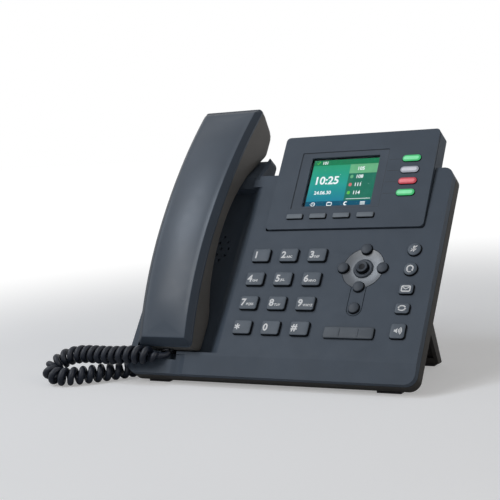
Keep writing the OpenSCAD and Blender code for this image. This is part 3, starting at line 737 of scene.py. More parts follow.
class Finish(Enum):
    """Every finish on the phone."""

    COVER = Moulding("cover_moulding", (75, 85, 97), 0.5, specular=0.2)
    REAR = Moulding("rear_moulding", (62, 61, 59), 0.55)
    STAND = Moulding("stand_moulding", (72, 71, 70), 0.55)
    HANDSET = Moulding("handset_moulding", (65, 77, 91), 0.34, grain=0.25, relief=0.008, specular=0.4)
    # Painted shade: a darker copy of the handset's moulding for the bevel band round its face, standing for
    # the band's shade.
    HANDSET_BAND_SHADE = Moulding("handset_band_painted_shade", (50, 59, 70), 0.42, grain=0.25, relief=0.008,
                            specular=0.2)
    HANDSET_INNER = Moulding("handset_inner_moulding", (104, 103, 101), 0.45, grain=0.25, relief=0.012)
    KEY = Moulding("key_moulding", (82, 92, 103), 0.42, grain=0.2, relief=0.008)
    # Painted shade: the keys' side walls are coloured near black to stand for the shadow that falls on them.
    KEY_SIDE_SHADE = Moulding("key_side_painted_shade", (20, 23, 28), 0.5, grain=0.2, relief=0.008, specular=0.15)
    SOFT_KEY = Moulding("soft_key_moulding", (114, 123, 132), 0.42, grain=0.2, relief=0.008)
    VOLUME = Moulding("volume_moulding", (72, 80, 89), 0.42, grain=0.2, relief=0.008)
    NAV_KEY = Moulding("nav_key_moulding", (58, 66, 76), 0.4, grain=0.2, relief=0.008, specular=0.25)
    LEGEND = Moulding("legend_print", (250, 253, 255), 0.5, grain=0.15, relief=0.004, mottle=0.02)
    BEZEL_LINE = Moulding("bezel_line_print", (56, 63, 70), 0.5, grain=0.15, relief=0.004)
    SOCKET = Moulding("socket_moulding", (24, 25, 27), 0.4, grain=0.2, relief=0.01)
    FOOT = Moulding("foot_rubber", (30, 31, 33), 0.8, grain=0.5, relief=0.04, mottle=0.06)
    KEY_MAT = Moulding("silicone_mat", (186, 188, 182), 0.45, grain=0.4, relief=0.01)
    PLUG = Moulding("plug_moulding", (30, 33, 38), 0.25, grain=0.4, relief=0.006)
    SATIN = Moulding("nav_satin", (86, 93, 101), 0.3, grain=0.15, relief=0.004, specular=0.7)
    STEEL = Metal("zinc_steel", (168, 170, 172), 0.35)
    CONE = Metal("speaker_frame", (150, 152, 155), 0.45)
    GLASS = Glass()
    SCREEN = ScreenGlow()
    CORD = CordSkin()
    BOARD = CircuitBoard()
    # Each lens colour has a darker copy for the edge of its top, which is painted shade.
    LINE_GREEN = Glow("line_lens_green", (126, 232, 168), 0.85, body=0.35)
    LINE_GREEN_EDGE_SHADE = Glow("line_lens_green_painted_edge_shade", (62, 196, 118), 0.75, body=0.35)
    LINE_GREY = Glow("line_lens_grey", (206, 208, 217), 0.8, body=0.3)
    LINE_GREY_EDGE_SHADE = Glow("line_lens_grey_painted_edge_shade", (164, 168, 180), 0.7, body=0.3)
    LINE_RED = Glow("line_lens_red", (240, 116, 126), 0.8, body=0.3)
    LINE_RED_EDGE_SHADE = Glow("line_lens_red_painted_edge_shade", (204, 62, 78), 0.7, body=0.3)
    ALERT_RED = Glow("alert_lens_red", (210, 30, 40), 0.9)
    INK_WHITE = Glow("screen_white", (244, 252, 250), 1.0, body=0.02, specular=0.02)
    INK_GREEN = Glow("screen_green", (96, 200, 80), 0.95, body=0.02, specular=0.02)
    INK_RED = Glow("screen_red", (214, 120, 120), 0.95, body=0.02, specular=0.02)
    INK_BAR = Glow("screen_bar", (40, 134, 92), 0.9, body=0.02, specular=0.02)
    INK_FOOT = Glow("screen_foot_bar", (30, 92, 118), 0.9, body=0.02, specular=0.02)
    INK_LIST = Glow("screen_list", (44, 122, 100), 0.9, body=0.02, specular=0.02)
    INK_ROW = Glow("screen_first_row", (116, 190, 140), 0.9, body=0.02, specular=0.02)

    def material(self) -> bpy.types.Material:
        """The finish's material, made once."""
        return bpy.data.materials.get(self.value.name) or self.value.material()


# ---- pieces ----

def smoothed(mesh: bpy.types.Mesh, degrees: float) -> None:
    """Smooth shading, with a sharp edge where faces meet at more than an angle."""
    mesh.shade_smooth()
    mesh.set_sharp_from_angle(angle=math.radians(degrees))


def piece(name: str, surface: Surface, slope: Slope, finish: Finish, sharp: float = 38.0,
          marked: Array | None = None, second: Finish | None = None) -> Object:
    """A finished object of a surface, with its place in its mesh.

    Args:
        name: The object's name.
        surface: Its surface on the slope.
        slope: The slope that it stands on.
        finish: Its finish.
        sharp: The angle past which an edge stays sharp, in degrees.
        marked: Which of its faces have the second finish, if any.
        second: The second finish.

    Returns:
        The object, closed and with its faces outwards.
    """
    mesh = bpy.data.meshes.new(name)
    mesh.from_pydata(slope.place(surface.points).tolist(), [], surface.faces)
    if marked is not None:
        mesh.polygons.foreach_set("material_index", marked.astype(np.int32))
    work = bmesh.new()
    work.from_mesh(mesh)
    bmesh.ops.remove_doubles(work, verts=work.verts, dist=1e-6)
    bmesh.ops.dissolve_degenerate(work, edges=work.edges, dist=1e-7)
    bmesh.ops.recalc_face_normals(work, faces=work.faces)
    work.to_mesh(mesh)
    work.free()
    smoothed(mesh, sharp)
    mesh.materials.append(finish.material())
    if second is not None:
        mesh.materials.append(second.material())
    return placed(name, mesh)


def two_tone(made: Object, slope: Slope, below: float, finish: Finish) -> None:
    """Gives a piece's lower faces a further finish.

    Args:
        made: The piece.
        slope: The slope that it stands on.
        below: The height below which a face's middle counts as low, in millimetres.
        finish: The further finish.
    """
    polygons = made.data.polygons
    middles = np.empty(len(polygons) * 3, np.float32)
    number = np.empty(len(polygons), np.int32)
    polygons.foreach_get("center", middles)
    polygons.foreach_get("material_index", number)
    number[slope.local(middles.reshape(-1, 3))[:, 2] < below] = len(made.data.materials)
    made.data.materials.append(finish.material())
    polygons.foreach_set("material_index", number)
    made.data.update()


def cut(target: Object, tool: Object) -> None:
    """Cuts a closed tool out of a piece and removes the tool.

    Args:
        target: The piece.
        tool: The tool.
    """
    modifier = target.modifiers.new("cut", "BOOLEAN")
    modifier.operation = "DIFFERENCE"
    modifier.solver = "EXACT"
    modifier.object = tool
    evaluated = target.evaluated_get(bpy.context.evaluated_depsgraph_get())
    mesh = bpy.data.meshes.new_from_object(evaluated)
    target.modifiers.remove(modifier)
    target.data = mesh
    bpy.data.objects.remove(tool)


def lettering(text: str, height: float, low: float, high: float, weight: float = 0.045) -> Surface:
    """Plain lettering as a closed solid, its middle at the origin.

    Args:
        text: What it says.
        height: Height of a digit.
        low: Height of its underside.
        high: Height of its top.
        weight: How far its strokes are widened to each side, as a share of the height.

    Returns:
        The solid.
    """
    digit_share = 0.73
    curve = bpy.data.curves.new("lettering", "FONT")
    curve.body = text
    curve.size = height / digit_share
    curve.resolution_u = 3
    curve.offset = weight * height
    curve.extrude = (high - low) / 2
    holder = placed("lettering", curve)
    bpy.context.view_layer.update()
    depsgraph = bpy.context.evaluated_depsgraph_get()
    mesh = bpy.data.meshes.new_from_object(holder.evaluated_get(depsgraph))
    points = vertices(mesh)
    faces = [tuple(p.vertices) for p in mesh.polygons]
    bpy.data.objects.remove(holder)
    bpy.data.curves.remove(curve)
    bpy.data.meshes.remove(mesh)
    middle = (points.min(0) + points.max(0)) / 2
    return Surface(points - middle + [0, 0, (low + high) / 2], faces)


class Frame:
    """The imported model, and the ways in which pieces join it."""

    def __init__(self, loaded: dict) -> None:
        """Keeps the loaded frame's nodes."""
        self.nodes: dict[str, Object] = loaded["nodes"]

    def extent(self, node: str, slope: Slope = FACE) -> Extent:
        """A node's box on a slope."""
        return Extent.of(self.nodes[node], slope)

    def join(self, made: Object, body: str, slot: str | None = None, nodes: Sequence[str] = ()) -> Object:
        """Lets a piece ride on a body and stand for nodes.

        Args:
            made: The piece.
            body: The body that carries it.
            slot: The record's material slot, if the piece has one; not used.
            nodes: The CAD nodes that it replaces.

        Returns:
            The piece.
        """
        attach(made, body)
        if nodes:
            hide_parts(*nodes)
        log.info("%s rides on %s", made.name, body)
        return made

    def dress(self, node: str, finish: Finish) -> None:
        """Gives a CAD node that keeps its shape its finish.

        Args:
            node: The node.
            finish: Its finish.
        """
        mesh = self.nodes[node].data
        mesh.materials.clear()
        mesh.materials.append(finish.material())
        log.info("%s keeps its shape", node)

    def softened(self, node: str, finish: Finish, edge: float, sharp: float = 30.0) -> Object:
        """A copy of a CAD node with its flat faces joined and its edges rounded.

        Args:
            node: The node.
            finish: The copy's finish.
            edge: Width of the rounding, in millimetres.
            sharp: The angle past which an edge is rounded, in degrees.

        Returns:
            The copy, which doesn't yet ride on a body.
        """
        mesh = self.nodes[node].data.copy()
        work = bmesh.new()
        work.from_mesh(mesh)
        bmesh.ops.remove_doubles(work, verts=work.verts, dist=2e-6)
        bmesh.ops.dissolve_degenerate(work, edges=work.edges, dist=1e-6)
        bmesh.ops.dissolve_limit(work, angle_limit=math.radians(0.5), verts=work.verts,
                                 edges=work.edges)
        work.to_mesh(mesh)
        work.free()
        mesh.materials.clear()
        mesh.materials.append(finish.material())
        smoothed(mesh, sharp)
        made = placed(node + "_shell", mesh)
        bevel = made.modifiers.new("edges", "BEVEL")
        bevel.width = edge * MM
        bevel.segments = 3
        bevel.limit_method = "ANGLE"
        bevel.angle_limit = math.radians(sharp)
        bevel.miter_outer = "MITER_ARC"
        bevel.harden_normals = False
        return made


# ---- the studio ----

@dataclass(frozen=True)
class Lamp:
    """A square soft lamp that looks at the phone.

    Args:
        name: Its name.
        place: Where it hangs, in metres.
        side: Its side, in metres.
        power: Its power, in watts.
        colour: Its light's colour, 0 to 255.
    """

    name: str
    place: Point
    side: float
    power: float
    colour: Colour = (255, 255, 255)


@dataclass
class Studio:
    """A pale floor, soft lamps and the camera.

    Args:
        eye: The camera's place, in metres.
        azimuth: How far the camera stands to the right of straight ahead, in degrees.
        look_down: How far it looks below the horizon, in degrees.
        roll: How far it is turned about its own line of sight, in degrees.
        lens: Its focal length, in millimetres on a 36 mm sensor.
        target: The point that the lamps look at.
        ambient: Light from all round; 1 would light the phone by itself.
        floor_side: Side of the floor.
        floor_runout: Distances between which the floor turns into plain white.
        floor_lift: Own light of the floor near the phone, as the camera sees it.
        lamps: The soft lamps.
    """

    eye: Point = (0.3682, -0.6987, 0.1795)
    azimuth: float = 30.14
    look_down: float = 6.935
    roll: float = -4.742
    lens: float = 84.77
    target: Point = (0.0, 0.0, 0.08)
    ambient: float = 0.14
    floor_side: float = 6.0
    floor_runout: tuple[float, float] = (0.25, 0.75)
    floor_lift: float = 0.3
    lamps: tuple[Lamp, ...] = (
        Lamp("lamp_front_left", (-0.95, -1.35, 1.4), 0.9, 10),
        Lamp("lamp_above", (-0.85, -0.5, 1.4), 0.4, 4.5, (232, 242, 255)),
        Lamp("lamp_right", (1.5, -0.5, 0.7), 0.8, 3.2, (255, 244, 232)),
    )

    def camera(self) -> None:
        """The camera: its axes are turned by azimuth and look_down, and then rolled."""
        side, dip, roll = (math.radians(v) for v in (self.azimuth, self.look_down, self.roll))
        level = np.array([math.cos(side), math.sin(side), 0])
        forward = np.array([-math.sin(side) * math.cos(dip), math.cos(side) * math.cos(dip), -math.sin(dip)])
        upright = np.cross(level, forward)
        right = math.cos(roll) * level + math.sin(roll) * upright
        up = math.cos(roll) * upright - math.sin(roll) * level
        data = bpy.data.cameras.new("camera")
        data.lens = self.lens
        data.sensor_width = 36
        data.clip_start = 0.01
        made = placed("camera", data)
        turn = Matrix(np.stack([right, up, -forward], 1).tolist()).to_4x4()
        made.matrix_world = Matrix.Translation(self.eye) @ turn
        bpy.context.scene.camera = made

    def light(self) -> None:
        """The soft lamps, each turned to the phone."""
        for lamp in self.lamps:
            data = bpy.data.lights.new(lamp.name, "AREA")
            data.shape = "SQUARE"
            data.size = lamp.side
            data.energy = lamp.power
            data.color = linear(lamp.colour)[:3]
            made = placed(lamp.name, data)
            made.location = lamp.place
            aim = Vector(self.target) - Vector(lamp.place)
            made.rotation_euler = aim.to_track_quat("-Z", "Y").to_euler()

    def world(self) -> None:
        """A white surround that gives the phone only the ambient light."""
        world = bpy.data.worlds.new("surround")
        world.use_nodes = True
        bpy.context.scene.world = world
        tree = Nodes(world.node_tree)
        ray = tree.node("ShaderNodeLightPath").outputs
        mirrored = tree.combined("MAXIMUM", ray["Is Glossy Ray"], ray["Is Transmission Ray"])
        seen = tree.combined("MAXIMUM", ray["Is Camera Ray"], mirrored)
        strength = tree.node("ShaderNodeMapRange", To_Min=self.ambient, To_Max=1.0)
        tree.join(seen, strength.inputs["Value"])
        background = tree.nodes["Background"]
        background.inputs["Color"].default_value = (1, 1, 1, 1)
        tree.join(strength.outputs["Result"], background.inputs["Strength"])

    def floor(self) -> None:
        """A pale matt floor that keeps the shadow and runs out into plain white away from the phone.

        The run-out t is 0 near the phone and 1 far off, by 3u^2 - 2u^3 of the distance from the origin,
        and it acts on what the camera sees only.
        """
        half = self.floor_side / 2
        corners = np.array([[-1, -1, 0], [1, -1, 0], [1, 1, 0], [-1, 1, 0]]) * half
        mesh = bpy.data.meshes.new("floor")
        mesh.from_pydata(corners.tolist(), [], [(0, 1, 2, 3)])
        graph = Graph("floor_paint")
        graph.set(Roughness=0.9, Specular_IOR_Level=0.1, Emission_Color=(1, 1, 1, 1))
        by_camera = graph.node("ShaderNodeLightPath").outputs["Is Camera Ray"]
        away = graph.node("ShaderNodeVectorMath", operation="LENGTH")
        graph.join(graph.coordinates(), away.inputs[0])
        near, far = self.floor_runout
        runout = graph.node("ShaderNodeMapRange", interpolation_type="SMOOTHSTEP",
                            From_Min=near, From_Max=far)
        graph.join(away.outputs["Value"], runout.inputs["Value"])
        seen = graph.combined("MULTIPLY", by_camera, runout.outputs["Result"])
        paint = graph.node("ShaderNodeMix", data_type="RGBA", B=(0, 0, 0, 1))
        graph.join(seen, paint.inputs["Factor"])
        graph.join(graph.blend(graph.noise(3, 3), (226, 227, 229), (230, 231, 233)), paint.inputs["A"])
        graph.join(paint.outputs["Result"], graph.shader.inputs["Base Color"])
        lift = graph.node("ShaderNodeMapRange", To_Min=self.floor_lift)
        graph.join(seen, lift.inputs["Value"])
        shown = graph.combined("MULTIPLY", by_camera, lift.outputs["Result"])
        graph.join(shown, graph.shader.inputs["Emission Strength"])
        mesh.materials.append(graph.material)
        made = placed("floor", mesh)

    def build(self) -> None:
        """Sets up the whole studio."""
        bpy.context.scene.view_settings.view_transform = "Standard"
        self.camera()
        self.light()
        self.world()
        self.floor()


# ---- the cord ----

@dataclass
class HandsetCord:
    """The curly cord, wound round a route that starts at the handset's plug and ends at the base's.

    Args:
        route: Points of the route, in millimetres in the model's frame.
        wound_from: Route point at which the winding has its full width.
        wound_to: Route point at which it starts to taper again.
        fade: Over how many route points it tapers.
        coil: Outer diameter of the winding.
        wire: Diameter of the cord itself.
        pitch: Distance between turns.
        length: The cord's real length, in metres; not used.
        turn_points: Points on each turn.
        lead_points: Points for each millimetre of the route besides those of the turns.
        onset: How many times faster than the width the turning sets in.
        sides: Points round the cord.
        samples: Points at which the route is worked out.
    """

    route: tuple[Point, ...] = (
        (-73, -58.4, 20.8), (-73.1, -59.6, 19.5), (-76.5, -63, 19.6), (-82, -65.8, 20.2),
        (-90, -67.4, 20.8), (-101, -68, 20.5), (-112, -67.6, 19.8), (-122, -67, 19.6),
        (-132, -66.2, 19.5), (-141.5, -66, 19), (-151, -67.4, 17.2), (-157, -71, 13.8),
        (-159.5, -75.5, 10.2), (-157, -79.5, 7.8), (-149.5, -81.2, 6.6), (-141, -78.5, 6.5),
        (-132, -71.8, 6.5), (-122.5, -63, 6.5), (-113.5, -53.5, 6.5), (-107, -43.5, 6.5),
        (-101, -35.5, 6.5), (-94, -32.5, 4.2), (-86, -32.5, 3.4), (-79, -33.5, 10),
        (-76, -34.6, 18), (-75, -33.6, 24.5), (-75, -30.9, 31.3), (-75, -28.4, 34.5))
    wound_from: float = 3.6
    wound_to: float = 20.0
    fade: float = 1.6
    coil: float = 12.8
    wire: float = 4.4
    pitch: float = 6.2
    length: float = 0.81
    turn_points: int = 16
    lead_points: float = 0.35
    onset: float = 4.0
    sides: int = 12
    samples: int = 6000

    def route_at(self, u: Array) -> Array:
        """Points on the smooth curve through the route, by the Catmull-Rom formula."""
        line = np.array(self.route, float)
        last = len(line) - 1
        i = np.minimum(np.floor(u).astype(int), last - 1)
        t = (u - i)[:, None]
        p0, p1, p2, p3 = (line[np.clip(i + k, 0, last)] for k in (-1, 0, 1, 2))
        return 0.5 * (2 * p1 + (p2 - p0) * t + (2 * p0 - 5 * p1 + 4 * p2 - p3) * t ** 2
                      + (3 * p1 - p0 - 3 * p2 + p3) * t ** 3)

    def centreline(self) -> tuple[Array, Array]:
        """The cord's own line, and the outward direction at each point.

        The line is the route's point plus the winding's radius along a direction that turns about
        the route once for each pitch. The radius and the turning fade out towards the leads.

        Returns:
            The points and the directions, in millimetres.
        """
        fine = np.linspace(0, len(self.route) - 1, self.samples)
        track = self.route_at(fine)
        step = np.linalg.norm(np.diff(track, axis=0), axis=1)
        wound = np.clip(np.minimum((fine - self.wound_from) / self.fade + 1,
                                   (self.wound_to - fine) / self.fade + 1), 0, 1)
        turning = np.clip(wound * self.onset, 0, 1)
        turns_here = turning[1:] / self.pitch
        turns = np.concatenate([[0], np.cumsum(step * turning[1:] / self.pitch)])
        pace = np.concatenate([[0], np.cumsum(step * (turns_here * self.turn_points + self.lead_points))])
        at = np.interp(np.linspace(0, pace[-1], int(pace[-1])), pace, np.arange(len(fine)))
        index = np.arange(len(fine))
        centre = np.stack([np.interp(at, index, track[:, k]) for k in range(3)], 1)
        swell = np.interp(at, index, wound)
        swell = swell ** 2 * (3 - 2 * swell)
        angle = 2 * np.pi * np.interp(at, index, turns)
        along = np.gradient(centre, axis=0)
        along /= np.linalg.norm(along, axis=1, keepdims=True)
        across = np.cross(along, [0, 0, 1])
        across /= np.linalg.norm(across, axis=1, keepdims=True)
        up = np.cross(across, along)
        outward = np.cos(angle)[:, None] * across + np.sin(angle)[:, None] * up
        radius = (self.coil - self.wire) / 2 * swell
        return centre + radius[:, None] * outward, outward

    def build(self, frame: Frame) -> None:
        """Each ring is the line's point plus half the wire's diameter along cos(a) first + sin(a) second,
        where first and second are square to the line.

        Args:
            frame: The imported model.
        """
        line, outward = self.centreline()
        line[0], line[-1] = self.route[0], self.route[-1]
        along = np.gradient(line, axis=0)
        along /= np.linalg.norm(along, axis=1, keepdims=True)
        first = outward - along * (outward * along).sum(1, keepdims=True)
        first /= np.linalg.norm(first, axis=1, keepdims=True)
        second = np.cross(along, first)
        angle = np.linspace(0, 2 * np.pi, self.sides, endpoint=False)[None, :, None]
        section = np.cos(angle) * first[:, None] + np.sin(angle) * second[:, None]
        rings = line[:, None] + self.wire / 2 * section
        made = piece("curly_cord", lofted(rings), LEVEL, Finish.CORD, sharp=80)
        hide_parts("handset_cord")
        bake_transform(made)
        measured = float(np.linalg.norm(np.diff(line, axis=0), axis=1).sum()) * MM
        frame.dress("handset_plug", Finish.PLUG)
        frame.dress("base_plug", Finish.PLUG)
        log.info("curly_cord is %.3f m along its own line", measured)


# ---- the handset ----

@dataclass
class Handset:
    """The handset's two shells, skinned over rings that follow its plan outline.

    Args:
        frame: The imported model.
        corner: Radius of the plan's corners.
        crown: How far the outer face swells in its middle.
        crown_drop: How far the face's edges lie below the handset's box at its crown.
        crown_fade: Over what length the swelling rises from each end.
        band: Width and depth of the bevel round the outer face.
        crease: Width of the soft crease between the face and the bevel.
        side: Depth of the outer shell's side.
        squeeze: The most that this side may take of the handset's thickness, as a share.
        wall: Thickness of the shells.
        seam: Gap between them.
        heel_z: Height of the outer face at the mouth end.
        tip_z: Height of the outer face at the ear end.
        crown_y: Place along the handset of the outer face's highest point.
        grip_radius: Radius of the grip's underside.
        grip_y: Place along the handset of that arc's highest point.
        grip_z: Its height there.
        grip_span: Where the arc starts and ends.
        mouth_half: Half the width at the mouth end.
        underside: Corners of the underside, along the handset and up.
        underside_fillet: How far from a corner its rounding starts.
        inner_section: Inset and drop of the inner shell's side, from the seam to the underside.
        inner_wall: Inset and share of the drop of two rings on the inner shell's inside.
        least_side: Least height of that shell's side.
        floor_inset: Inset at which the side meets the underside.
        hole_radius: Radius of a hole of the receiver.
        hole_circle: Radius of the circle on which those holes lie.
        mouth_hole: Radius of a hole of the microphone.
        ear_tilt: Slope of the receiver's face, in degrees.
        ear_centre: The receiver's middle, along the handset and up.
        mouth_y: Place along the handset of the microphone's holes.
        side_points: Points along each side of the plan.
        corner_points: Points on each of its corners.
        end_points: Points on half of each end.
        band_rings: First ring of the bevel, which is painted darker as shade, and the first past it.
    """

    frame: Frame
    corner: float = 3.4
    crown: float = 1.5
    crown_drop: float = 0.5
    crown_fade: float = 30.0
    band: tuple[float, float] = (4.2, 3.0)
    crease: float = 1.6
    side: float = 4.2
    squeeze: float = 0.6
    wall: float = 2.0
    seam: float = 0.3
    heel_z: float = 9.4
    tip_z: float = 8.6
    crown_y: float = 98.0
    grip_radius: float = 121.0
    grip_y: float = 103.0
    grip_z: float = 9.0
    grip_span: tuple[float, float] = (57.0, 150.0)
    mouth_half: float = 21.0
    underside: tuple[tuple[float, float], ...] = (
        (16, 2), (17, -4.5), (19.5, -8.4), (40, -8.4), (47, -6), (57, -0.2), (150, -0.4), (153.5, -1.6),
        (181.5, -18.1), (195.5, -17.2), (198.5, -14.6), (202.6, -3), (206.4, 5.4))
    underside_fillet: float = 2.2
    inner_section: tuple[tuple[float, float], ...] = ((0.2, 0), (0.35, 6), (0.6, 10.5), (2.8, 12), (7, 12))
    inner_wall: tuple[tuple[float, float], ...] = ((3, 0.86), (2.2, 0))
    least_side: float = 0.2
    floor_inset: float = 7.0
    hole_radius: float = 1.0
    hole_circle: float = 4.5
    mouth_hole: float = 0.8
    ear_tilt: float = 30.6
    ear_centre: tuple[float, float] = (167.5, -9.85)
    mouth_y: float = 26.0
    box: Extent = field(init=False)
    side_points: int = 90
    corner_points: int = 9
    end_points: int = 7
    band_rings: tuple[int, int] = (11, 16)

    def __post_init__(self) -> None:
        """Measures the handset in the frame."""
        back = self.frame.extent("handset_back_shell")
        front = self.frame.extent("handset_face_shell")
        self.box = Extent(np.minimum(back.low, front.low), np.maximum(back.high, front.high))

    def top(self, y: Array) -> Array:
        """Height of the outer face: two circular arcs that meet level at the crown."""
        peak = self.box.high[2] - self.crown_drop
        end_y = np.where(y < self.crown_y, self.box.low[1], self.box.high[1])
        end_z = np.where(y < self.crown_y, self.heel_z, self.tip_z)
        radius = ((self.crown_y - end_y) ** 2 + (peak - end_z) ** 2) / (2 * (peak - end_z))
        return peak - radius + np.sqrt(radius ** 2 - (y - self.crown_y) ** 2)

    def under(self, y: Array) -> Array:
        """Height of the underside: rounded straight runs at the heads and an arc along the grip."""
        line = filleted(self.underside, self.underside_fillet, 7)
        arc = self.grip_z - self.grip_radius + np.sqrt(self.grip_radius ** 2 - (y - self.grip_y) ** 2)
        straight = np.interp(y, line[:, 0], line[:, 1])
        lower = np.interp(self.grip_span, line[:, 0], line[:, 1])
        grip = (y > self.grip_span[0]) & (y < self.grip_span[1])
        return np.where(grip, np.maximum(arc, np.interp(y, self.grip_span, lower)), straight)

    def outline(self, inset: float) -> Array:
        """The plan outline: a taper with round corners, up one side and down the other.

        Args:
            inset: How far inside the handset's edge it lies.

        Returns:
            The outline's x and y, with x from the handset's middle.
        """
        r = max(self.corner - inset, 0.5)
        y0, y1 = self.box.low[1] + inset, self.box.high[1] - inset
        ear_half = self.box.size[0] / 2

        def half(y: Array) -> Array:
            """Half the width at a place along the handset."""
            share = (y - self.box.low[1]) / self.box.size[1]
            return self.mouth_half + (ear_half - self.mouth_half) * share - inset

        turn = np.linspace(0, np.pi / 2, self.corner_points)
        heel_x, tip_x = half(y0 + r) - r, half(y1 - r) - r
        sides = np.linspace(y0 + r, y1 - r, self.side_points)[1:-1]
        short = self.end_points - 1
        heel = np.column_stack([np.linspace(0, heel_x, self.end_points)[:-1], np.full(short, y0)])
        heel_corner = np.column_stack([heel_x + r * np.sin(turn), y0 + r - r * np.cos(turn)])
        flank = np.column_stack([half(sides), sides])
        tip_corner = np.column_stack([tip_x + r * np.cos(turn), y1 - r + r * np.sin(turn)])
        tip = np.column_stack([np.linspace(tip_x, 0, self.end_points)[1:], np.full(short, y1)])
        right = np.concatenate([heel, heel_corner, flank, tip_corner, tip])
        left = right[-2:0:-1] * [-1, 1]
        return np.concatenate([right, left])

    def ring(self, plan: Array, height: Callable[[Array], Array]) -> Array:
        """A plan outline lifted to a height that depends on the place along the handset."""
        return np.column_stack([plan[:, 0] + self.box.middle[0], plan[:, 1], height(plan[:, 1])])

    def spine(self, inset: float) -> Array:
        """The outline drawn in to the handset's middle line."""
        plan = self.outline(inset)
        reach = self.mouth_half - inset
        low, high = self.box.low[1] + reach, self.box.high[1] - reach
        return np.column_stack([np.zeros(len(plan)), np.clip(plan[:, 1], low, high)])

    def thinness(self, y: Array) -> Array:
        """How far the sides are squeezed where the handset is thin, 1 where they aren't."""
        return np.minimum(1, self.squeeze * (self.top(y) - self.under(y)) / self.side)

    def shell(self, rings: list[Array]) -> Surface:
        """A closed shell of rings whose first and last lie on the middle line."""
        return lofted(np.stack(rings), capped=False)

    def face_rings(self, depth: float, inset: float) -> list[Array]:
        """Rings from the handset's middle line out to its side, over or under the outer face.

        At a share v of the way out, the crown's height is that of the middle times 1 - v^2.

        Args:
            depth: How far below the outer face they lie.
            inset: Inset of the last ring.

        Returns:
            The rings, from the middle line outwards.
        """
        def height(swell: float) -> Callable[[Array], Array]:
            """Height of the crowned face for a ring; the swelling rises by 3u^2 - 2u^3 from each end."""
            def at(y: Array) -> Array:
                """Height along the handset for that ring."""
                from_end = np.minimum(y - self.box.low[1], self.box.high[1] - y)
                u = np.clip(from_end / self.crown_fade, 0, 1)
                return self.top(y) + self.crown * swell * u ** 2 * (3 - 2 * u) - depth
            return at

        edge, middle = self.outline(inset), self.spine(inset)
        return [self.ring(middle + (edge - middle) * v, height(1 - v * v)) for v in np.linspace(0, 1, 9)]

    def outer(self) -> Surface:
        """The outer shell: crowned face, rounded crease, bevel band and sides, and its inside."""
        width, depth = self.band
        crease = width + self.crease
        section = filleted([(crease, 0), (width, 0), (0.1, depth), (0, self.side)], 0.7)
        inside = [(self.wall, self.side), (self.wall + 0.2, depth + self.wall)]
        rings = self.face_rings(0, crease)
        rings += [self.ring(self.outline(inset), lambda y, drop=drop: self.top(y) - drop * self.thinness(y))
                  for inset, drop in [*section[1:], *inside]]
        rings += self.face_rings(self.wall, width + self.wall)[::-1]
        return self.shell(rings)

    def inner(self) -> Surface:
        """The inner shell: sides below the seam, a rounded chamfer, the underside and its inside."""
        def height(share: float, lift: float) -> Callable[[Array], Array]:
            """Height at a share of the way from the seam to the underside."""
            def at(y: Array) -> Array:
                """Height along the handset for that share."""
                seam = self.top(y) - self.side * self.thinness(y) - self.seam
                foot = np.minimum(self.under(y) + lift, seam - self.least_side)
                return seam + (foot - seam) * share
            return at

        section = filleted(self.inner_section, 2.0) / [1, self.inner_section[-1][1]]
        rings = [self.ring(self.outline(inset), height(share, 0)) for inset, share in section]
        edge, middle = self.outline(self.floor_inset), self.spine(self.floor_inset)
        under = [self.ring(edge + (middle - edge) * v, height(1, 0)) for v in np.linspace(0, 1, 8)[1:]]
        inside = [self.ring(middle + (edge - middle) * v, height(1, self.wall)) for v in np.linspace(0, 1, 4)]
        wall = [self.ring(self.outline(inset), height(share, self.wall)) for inset, share in self.inner_wall]
        return self.shell(under[::-1] + rings[::-1] + wall[::-1] + inside[::-1])

    def build(self) -> None:
        """Makes both shells and dresses what they hold."""
        surface = self.outer()
        # The bevel band's rings get the darker handset finish, as painted shade.
        ring_number = np.arange(len(surface.faces)) // len(self.outline(0))
        first, last = self.band_rings
        outer = piece("handset_outer_shell", surface, FACE, Finish.HANDSET, sharp=24,
                      marked=(ring_number >= first) & (ring_number < last), second=Finish.HANDSET_BAND_SHADE)
        self.frame.join(outer, "handset", "cover_plastic", ["handset_back_shell"])
        inner = piece("handset_inner_shell", self.inner(), FACE, Finish.HANDSET_INNER, sharp=45)
        cut(inner, piece("sound_hole_tool", self.sound_holes(), FACE, Finish.SOCKET))
        self.frame.join(inner, "handset", "cover_plastic", ["handset_face_shell"])
        self.frame.dress("handset_receiver", Finish.CONE)
        self.frame.dress("handset_microphone", Finish.CONE)
        self.frame.dress("handset_weight", Finish.STEEL)

    def sound_holes(self) -> Surface:
        """The tool that drills the holes of the receiver, on a circle, and of the microphone, in a row."""
        a = math.radians(self.ear_tilt)
        ear = np.array([self.box.middle[0], *self.ear_centre])
        turn = np.array([[1, 0, 0], [0, math.cos(a), -math.sin(a)], [0, math.sin(a), math.cos(a)]])
        drill = plate(circle(self.hole_radius, 16), -8, 4)
        holes = []
        for k in range(6):
            spot = drill.moved(self.hole_circle * math.cos(k * math.pi / 3),
                               self.hole_circle * math.sin(k * math.pi / 3))
            holes.append(Surface(spot.points @ turn + ear, spot.faces))
        fine = plate(circle(self.mouth_hole, 12), -12, -4)
        holes += [fine.moved(self.box.middle[0] + dx, self.mouth_y) for dx in (-4, 0, 4)]
        return Surface.joined(holes)


# ---- keys ----

@dataclass(frozen=True)
class KeyForm:
    """How a key's cap is shaped.

    Args:
        corner: Radius of its corners; a large one makes it round.
        edge: Radius of its upper edge.
        dish: Depth of the hollow in its top, or less than zero for a crown.
        lip: Width of the flange under the cover.
    """

    corner: float
    edge: float
    dish: float
    lip: float


